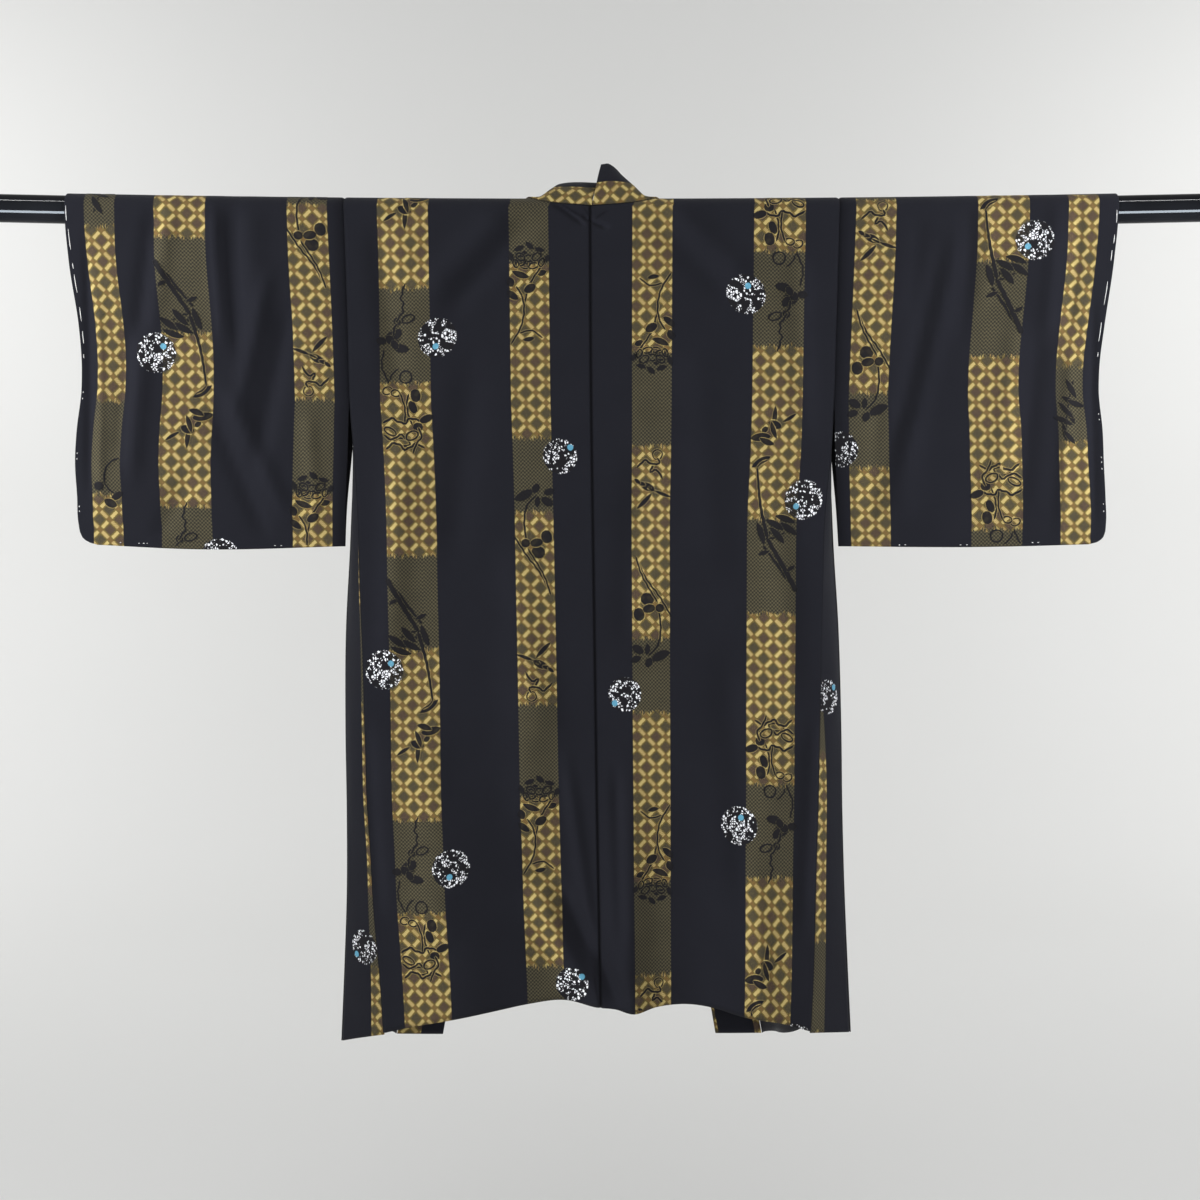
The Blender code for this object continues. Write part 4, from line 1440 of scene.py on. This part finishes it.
# A strip of the figure: five lines along a centreline, half a width and a margin to each side.
# Its ink falls from 1 inside to 0.5 at the outline and 0 at the margin's edge.
def strip(path, half):
    place = np.linspace(-1, 1, drawing["across"])
    reach = (half + drawing["margin"])[:, None]
    points = path[:, None] + squareTo(path)[:, None] * (place * reach)[..., None]
    ink = 0.5 + (half[:, None] - np.abs(place) * reach) / (2 * drawing["margin"])
    return points, np.clip(ink, 0, 1)


# Points a along and b across an axis that leaves (u, v) tilted from u towards v.
def tilted(u, v, tilt, a, b):
    turn = math.radians(tilt)
    cosine, sine = math.cos(turn), math.sin(turn)
    return stacked(u + a * cosine - b * sine, v + a * sine + b * cosine)


# A leaf: half width w (1 - t^2)^p from tip to tip, its middle line bowed to one side.
def leafStrip(u, v, length, width, angle, point):
    t = np.linspace(-1, 1, drawing["stations"])
    width = width * drawing["leafWidth"]
    bow = drawing["leafBow"] * point * width * (1 - t * t)
    half = width * (1 - t * t) ** (0.5 + drawing["leafPoint"] * point)
    return strip(tilted(u, v, angle, t * length * drawing["leafLength"], bow), half)


# A ring: an ellipse's outline with a slow wobble, drawn a little past its start.
def ringStrip(u, v, length, width, tilt, line):
    t = np.linspace(0, drawing["ringTurn"] * math.pi, drawing["ringPoints"])
    a = length * np.cos(t) * (1 + drawing["ringWobble"] * np.sin(3 * t))
    half = drawing["pen"] + line + drawing["penSwell"] * np.sin(2 * t)
    return strip(tilted(u, v, tilt, a, width * np.sin(t)), half)


# A stem: a smooth curve through its points, with a waver of a few ripples across it.
def stemStrip(start, end, waver, points):
    points = np.array(points, float)
    at = gone(points)
    count = max(drawing["stemPoints"], int(at[-1] / drawing["stemStep"]))
    place = np.linspace(0, at[-1], count)
    curve = {"at": at, "u": points[:, 0], "v": points[:, 1]}
    path = stacked(read(curve, "at", "u", place), read(curve, "at", "v", place))
    ripple = waver * np.sin(place * drawing["stemWaver"] + points[0, 0])
    path = path + squareTo(path) * (ripple * np.sin(math.pi * place / at[-1]))[:, None]
    least = drawing["stemLeast"]
    half = least + drawing["stemGain"] * (start + (end - start) * place / at[-1])
    tip = ease(np.minimum(place, at[-1] - place) / drawing["stemTip"])
    half *= least + (1 - least) * tip
    return strip(path, half)


# All figures of one repeat as points, ink, each point's layer, and quads.
def figureRepeat():
    strips = [leafStrip(*row) for row in zip(*leaves.values())]
    strips += [ringStrip(*row) for row in zip(*rings.values())]
    strips += [stemStrip(*row) for row in stems]
    points, ink, layer, quads, first = [], [], [], [], 0
    for number, (place, dark) in enumerate(strips):
        points.append(place.reshape(-1, 2))
        ink.append(dark.ravel())
        layer.append(np.full(dark.size, number % drawing["layers"] * drawing["layerStep"]))
        quads.append(gridQuads(*dark.shape, first))
        first += dark.size
    return [np.concatenate(part) for part in (points, ink, layer, quads)]


figurePoints, figureInk, figureLayer, figureQuads = figureRepeat()


# Lays the figures on a panel: each (u, v) is looked up on the cloth, lifted just clear of its
# face along the surface's own normal, and quads that leave the panel are left out.
def layFigures(name, side, lookUp, pointAt, vSpan, reach, shade):
    repeats = [int(v // silk["repeat"]) for v in vSpan]
    repeats = range(repeats[0] - 1, repeats[1] + 2)
    uv = np.concatenate([figurePoints + (0, k * silk["repeat"]) for k in repeats])
    ink, layer = (np.tile(part, len(repeats)) for part in (figureInk, figureLayer))
    quads = np.concatenate([figureQuads + i * len(figurePoints) for i in range(len(repeats))])
    length, across = lookUp(side, uv[:, 0], uv[:, 1])
    limit = reach(side, length, np.clip(across, 0, 1))
    edge = drawing["edge"]
    good = (across > edge) & (across < 1 - edge) & (np.abs(length) < limit)
    quads = quads[good[quads].all(axis=1)]
    a, b, c, d = (uv[quads[:, i]] for i in range(4))
    turn = (c - a)[:, 0] * (d - b)[:, 1] - (c - a)[:, 1] * (d - b)[:, 0]
    quads = quads[turn < -drawing["turnedOver"]]  # those that a tight bend turned over are left out
    used, quads = np.unique(quads, return_inverse=True)
    quads = quads.reshape(-1, 4)
    length, across, uv, ink, layer = (part[used] for part in (length, across, uv, ink, layer))
    here = pointAt(side, length, across)
    alongStep = pointAt(side, length + drawing["stepLength"], across) - here
    acrossStep = pointAt(side, length, across + drawing["stepAcross"]) - here
    normal = unit(np.cross(alongStep, acrossStep) * sides[side])
    lift = cloth["thickness"] / 2 + drawing["proud"] + layer
    points = sagged(here + normal * lift[:, None])
    corner = points[quads]
    facing = np.cross(corner[:, 2] - corner[:, 0], corner[:, 3] - corner[:, 1])
    if (facing * normal[quads[:, 0]]).sum() < 0:
        quads = quads[:, ::-1]
    piece = facedMesh(name, points, quads, uv * mm, [silkInk])
    setNumbers(piece, "ink", ink)
    # painted fold light and shade, the same as on the cloth beneath
    setNumbers(piece, "paintedFoldLight", shade(side, length, here[:, 0], here[:, 2]))
    thicken(piece, drawing["thickness"], offset=-1.0, inner=0)
    return piece


# The longest length of cloth that figures may reach on a body panel, and on a sleeve.
def bodyReach(side, length, across):
    x = bodyPoint(side, length, across)[:, 0]
    back = read(backHem, "x", "drop", x)
    front = read(frontHem, "place", side, across)
    return np.where(length < 0, back, front) + quarter - drawing["hemGap"]


def sleeveReach(side, length, across):
    return read(sleeveBottom, "place", side, across) + quarter - drawing["hemGap"]


for side in sides:
    name, ways = "ink_figures_body_" + side, (bodyPlace, bodyPoint)
    layFigures(name, side, *ways, (-1250, 1350), bodyReach, bodyShade)
    name, ways = "ink_figures_sleeve_" + side, (sleevePlace, sleevePoint)
    layFigures(name, side, *ways, (-200, 1000), sleeveReach, sleeveShade)

# Basting threads on the sleeves' backs
stitch = {"radius": 0.5, "around": 6, "points": 9, "lift": 0.95, "sunk": 0.1}
cotton = {"plain": (0.62, 0.62, 0.60), "dark": (0.45, 0.45, 0.44), "light": (0.72, 0.72, 0.70), "ply": 1.4}
# Long tacking stitches and small dots on the sleeves' backs: distance in from the cuff's edge
# and drop, at both ends
stitches = {
    "left": (
        (2.0, -2, 2.0, 20), (3.5, 26, 4.2, 55), (4.5, 68, 4.8, 76), (4.6, 80, 4.6, 106),
        (4.5, 120, 4.0, 140), (4.0, 149, 4.0, 167), (3.0, 178, 3.0, 184),
        (2.5, 224, 2.5, 226), (2.5, 232, 2.5, 234), (2.6, 300, 2.6, 302), (2.6, 307, 2.6, 309),
        (2.6, 366, 2.6, 368), (2.6, 372, 2.6, 374),
        (62, 411.5, 64, 411.5), (68, 411.5, 70, 411.5), (72.5, 411.5, 74, 411.5), (40, 411, 42, 411),
        (150, 413, 152, 413), (157, 413, 159, 413), (230, 412, 232, 412), (238, 412, 240, 412),
    ),
    "right": (
        (2.5, 4, 2.0, 22), (3.0, 34, 3.2, 46), (4.0, 52, 4.0, 67), (4.5, 88, 4.5, 121),
        (4.5, 138, 4.5, 165), (3.5, 176, 3.4, 182),
        (3.0, 251, 3.0, 253), (3.0, 258, 3.0, 260), (3.0, 305, 3.0, 307), (3.0, 311, 3.0, 313),
        (3.0, 319, 3.0, 321), (3.2, 363, 3.2, 365), (3.2, 372, 3.2, 374),
        (75, 410.5, 77, 410.5), (82, 410.5, 84, 410.5), (160, 412, 162, 412), (168, 412, 170, 412),
        (240, 411, 242, 411), (247, 411, 249, 411),
    ),
}


# Two-ply cotton: pale, with darker patches from noise that stand in for painted shade between the plies.
def threadMaterial():
    made, g, shader = newMaterial("white_basting_cotton", cotton["plain"], 0.7)
    ply = g.ramp(g.noise(g.scaled(g.place(), toMillimetres), cotton["ply"]), 0.35, 0.65)
    g.fill(shader["Base Color"], g.mix(ply, cotton["dark"], cotton["light"]))
    return made


# A stitch is a thin cord that rises out of the cloth, runs on it and dips back in:
# lift * sqrt(sin(pi t)) from end to end.
def buildStitches(side, finish):
    points, quads, first = [], [], 0
    t = np.linspace(0, 1, stitch["points"])
    bow = np.sin(math.pi * t)
    for in0, drop0, in1, drop1 in stitches[side]:
        drop = drop0 + (drop1 - drop0) * t
        width = read(cuffEdge, "drop", side, drop) - outerEdge(sleeveInner, side, drop)
        path = sleevePoint(side, -(drop + quarter), (in0 + (in1 - in0) * t) / width)
        path[:, 1] -= stitch["sunk"] + stitch["lift"] * np.sqrt(bow.clip(0, 1))
        radius = stitch["radius"] * np.sqrt(bow.clip(cordEnd["least"], 1))
        rings = tube(path, radius, stitch["around"])
        quads.append(gridQuads(*rings.shape[:2], first, closed=True)[:, turned])
        points.append(rings.reshape(-1, 3))
        first += rings.shape[0] * rings.shape[1]
    points, quads = np.concatenate(points), np.concatenate(quads)
    uv = points[:, ::2] * mm
    return facedMesh("basting_threads_" + side, sagged(points), quads, uv, [finish])


threadFinish = threadMaterial()
threads = {side: buildStitches(side, threadFinish) for side in sides}
print("basting threads made")

# The rod's black lacquer
rodFinish = {
    "colour": (0.0028, 0.0028, 0.0032),
    "cloud": (0.0042, 0.0042, 0.0048),
    "roughness": 0.03,
    "cloudSize": 14.0,
    "cloudRoughness": 0.03,
    "shine": {"Specular IOR Level": 0.07},
    "marks": 0.10,
    "markSize": (900.0, 60.0, 60.0),
    "depth": 0.00005,
    "cap": 0.4,
}


# Black lacquer, with faint polish marks that run round the rod. Its normal is the round form's
# own, away from the bent axis, except on the flat ends.
def lacquerMaterial():
    colour, roughness = rodFinish["colour"], rodFinish["roughness"]
    made, g, shader = newMaterial("polished_black_lacquer", colour, roughness, rodFinish["shine"])
    place = g.place()
    cloudy = g.noise(place, rodFinish["cloudSize"], 3.0)
    rougher = g.ramp(cloudy, 0.35, 0.75) * rodFinish["cloudRoughness"]
    g.fill(shader["Roughness"], rougher + roughness)
    g.fill(shader["Base Color"], g.mix(g.ramp(cloudy, 0.3, 0.8), colour, rodFinish["cloud"]))
    x, y, z = g.split(place)
    end = rodSag["halfLength"] * mm
    bend = g.math("POWER", x / end, 2.0)
    around = g.vector("NORMALIZE", g.join(0.0, y, bend * (-rodSag["rise"] * mm) + z))
    inEnds = g.math("GREATER_THAN", abs(x), end - rodFinish["cap"] * mm)
    own = g.node("NewGeometry", {}, "Normal")
    bump = {
        "Strength": rodFinish["marks"],
        "Distance": rodFinish["depth"],
        "Height": g.noise(g.stretched(place, *rodFinish["markSize"]), 1.0, 3.0),
        "Normal": g.vector("ADD", g.scaled(own, inEnds), g.scaled(around, 1.0 - inEnds)),
    }
    g.fill(shader["Normal"], g.node("Bump", bump))
    return made


rodMaterial = lacquerMaterial()
for spot in bpy.data.objects["rod"].material_slots:
    spot.material = rodMaterial
print("rod finished")

# Studio: camera, world, backdrop and lights, in metres and watts
studio = {
    "floor": -1.52,
    "floorFront": -5.0,
    "floorBack": 3.6,
    "coveRadius": 1.4,
    "wallTop": 4.2,
    "halfWidth": 6.0,
    "coveRows": 24,
    "columns": 13,
    "wall": (0.78, 0.78, 0.765),
    "wallDark": (0.77, 0.77, 0.755),
    "wallLight": (0.80, 0.80, 0.79),
    "wallPatches": 0.6,
    "camera": (0.0099, -1.585, -0.4289),
    "tilt": 1.763,
    "lens": 38.01,
    "sensor": 36.0,
    "world": (0.86, 0.865, 0.87),
    "worldStrength": 0.56,
}


# Lights: name, place, point it looks at, size, power, colour and the things it lights
white, cool, bluish = (1.0, 1.0, 1.0), (0.95, 0.96, 1.0), (0.80, 0.90, 1.0)
lights = (
    ("floor_light", (0, -1.0, 1.9), (0, 1.3, -1.6), (4.0, 1.4), 37, white, "backdrop"),
    ("low_floor_light", (0, -1.2, -0.75), (0, 0.9, -1.6), (2.6, 0.3), 6, white, "backdrop"),
    ("key_light", (-0.6, -3.4, 2.4), (0, 0, -0.5), (2.4, 1.6), 6.5, white, None),
)
# Lights in pairs, here on the right; the lacquer mirrors the long strips
pairs = (
    ("side_light_", (1.12, -0.85, -0.2), (0.8, 0, -0.42), (0.6, 1.7), 24, cool, "jacket"),
    ("rod_light_high_", (1.5, -1.12, 1.70), (1.5, 0, 0), (0.9, 0.05), 30, white, "rod"),
    ("rod_light_low_", (1.3, -1.05, -0.80), (1.3, 0, 0), (0.9, 0.42), 120, bluish, "rod"),
    ("wall_light_", (3.4, 1.4, 1.0), (2.4, 3.6, -0.2), (1.2, 2.2), 38, white, None),
)


# Floor and wall in one: a flat floor, a quarter circle, and a wall.
def buildStudio():
    turn = np.linspace(0, math.pi / 2, studio["coveRows"])
    r, back, low = studio["coveRadius"], studio["floorBack"], studio["floor"]
    y = np.concatenate([[studio["floorFront"]], back - r + r * np.sin(turn), [back]])
    z = np.concatenate([[low], low + r - r * np.cos(turn), [studio["wallTop"]]])
    x = np.linspace(-studio["halfWidth"], studio["halfWidth"], studio["columns"])[:, None]
    grid = stacked(x, y, z)
    made, g, shader = newMaterial("pale_backdrop", studio["wall"], 0.9)
    tone = g.noise(g.place(), studio["wallPatches"])
    g.fill(shader["Base Color"], g.mix(tone, studio["wallDark"], studio["wallLight"]))
    mesh = bpy.data.meshes.new("backdrop")
    quads = gridQuads(*grid.shape[:2])[:, turned]
    mesh.from_pydata(grid.reshape(-1, 3).tolist(), [], quads.tolist())
    mesh.materials.append(made)
    mesh.shade_smooth()
    drop = bpy.data.objects.new("backdrop", mesh)
    bpy.context.scene.collection.objects.link(drop)


# What a light shines on alone: the backdrop, the rod, or every piece of the jacket.
def litThings():
    things = {key: bpy.data.collections.new("lit_" + key) for key in ("backdrop", "rod", "jacket")}
    for item in bpy.data.objects:
        if item.type == "MESH":
            key = item.name if item.name in ("backdrop", "rod") else "jacket"
            things[key].objects.link(item)
    return things


# An area light that looks at a point.
def areaLight(name, place, target, size, power, colour, only):
    data = bpy.data.lights.new(name, "AREA")
    data.shape = "RECTANGLE"
    data.size, data.size_y = size
    data.energy = power
    data.color = colour
    lamp = bpy.data.objects.new(name, data)
    bpy.context.scene.collection.objects.link(lamp)
    lamp.location = place
    lamp.visible_camera = False
    if only:
        lamp.light_linking.receiver_collection = things[only]
    way = np.array(target) - np.array(place)
    flat = math.hypot(way[0], way[1])
    lamp.rotation_euler = (math.atan2(flat, -way[2]), 0, math.atan2(-way[0], way[1]))


buildStudio()
things = litThings()
for light in lights:
    areaLight(*light)
for side, sign in sides.items():
    for name, place, target, *rest in pairs:
        place, target = (sign * place[0], *place[1:]), (sign * target[0], *target[1:])
        areaLight(name + side, place, target, *rest)

world = bpy.data.worlds.new("studio_world")
world.use_nodes = True
sky = world.node_tree.nodes["Background"].inputs
sky["Color"].default_value = (*studio["world"], 1.0)
sky["Strength"].default_value = studio["worldStrength"]
bpy.context.scene.world = world

cameraData = bpy.data.cameras.new("camera")
cameraData.lens = studio["lens"]
cameraData.sensor_width = studio["sensor"]
camera = bpy.data.objects.new("camera", cameraData)
bpy.context.scene.collection.objects.link(camera)
camera.location = studio["camera"]
camera.rotation_euler = (math.radians(90 - studio["tilt"]), 0, 0)
bpy.context.scene.camera = camera
bpy.context.scene.view_settings.view_transform = "Standard"
print("studio made")

# What each sheet was cut to, looked up for each side and not used further
for side in sides:
    piece, area = bodies[side]
    flat = body["flat"]
    piece, area = sleeves[side]
    flat = sleeve["flat"]
    piece, area = gussets[side]
    piece, area, length = collars[side]
    flat = (0.122, round(length * mm, 3))
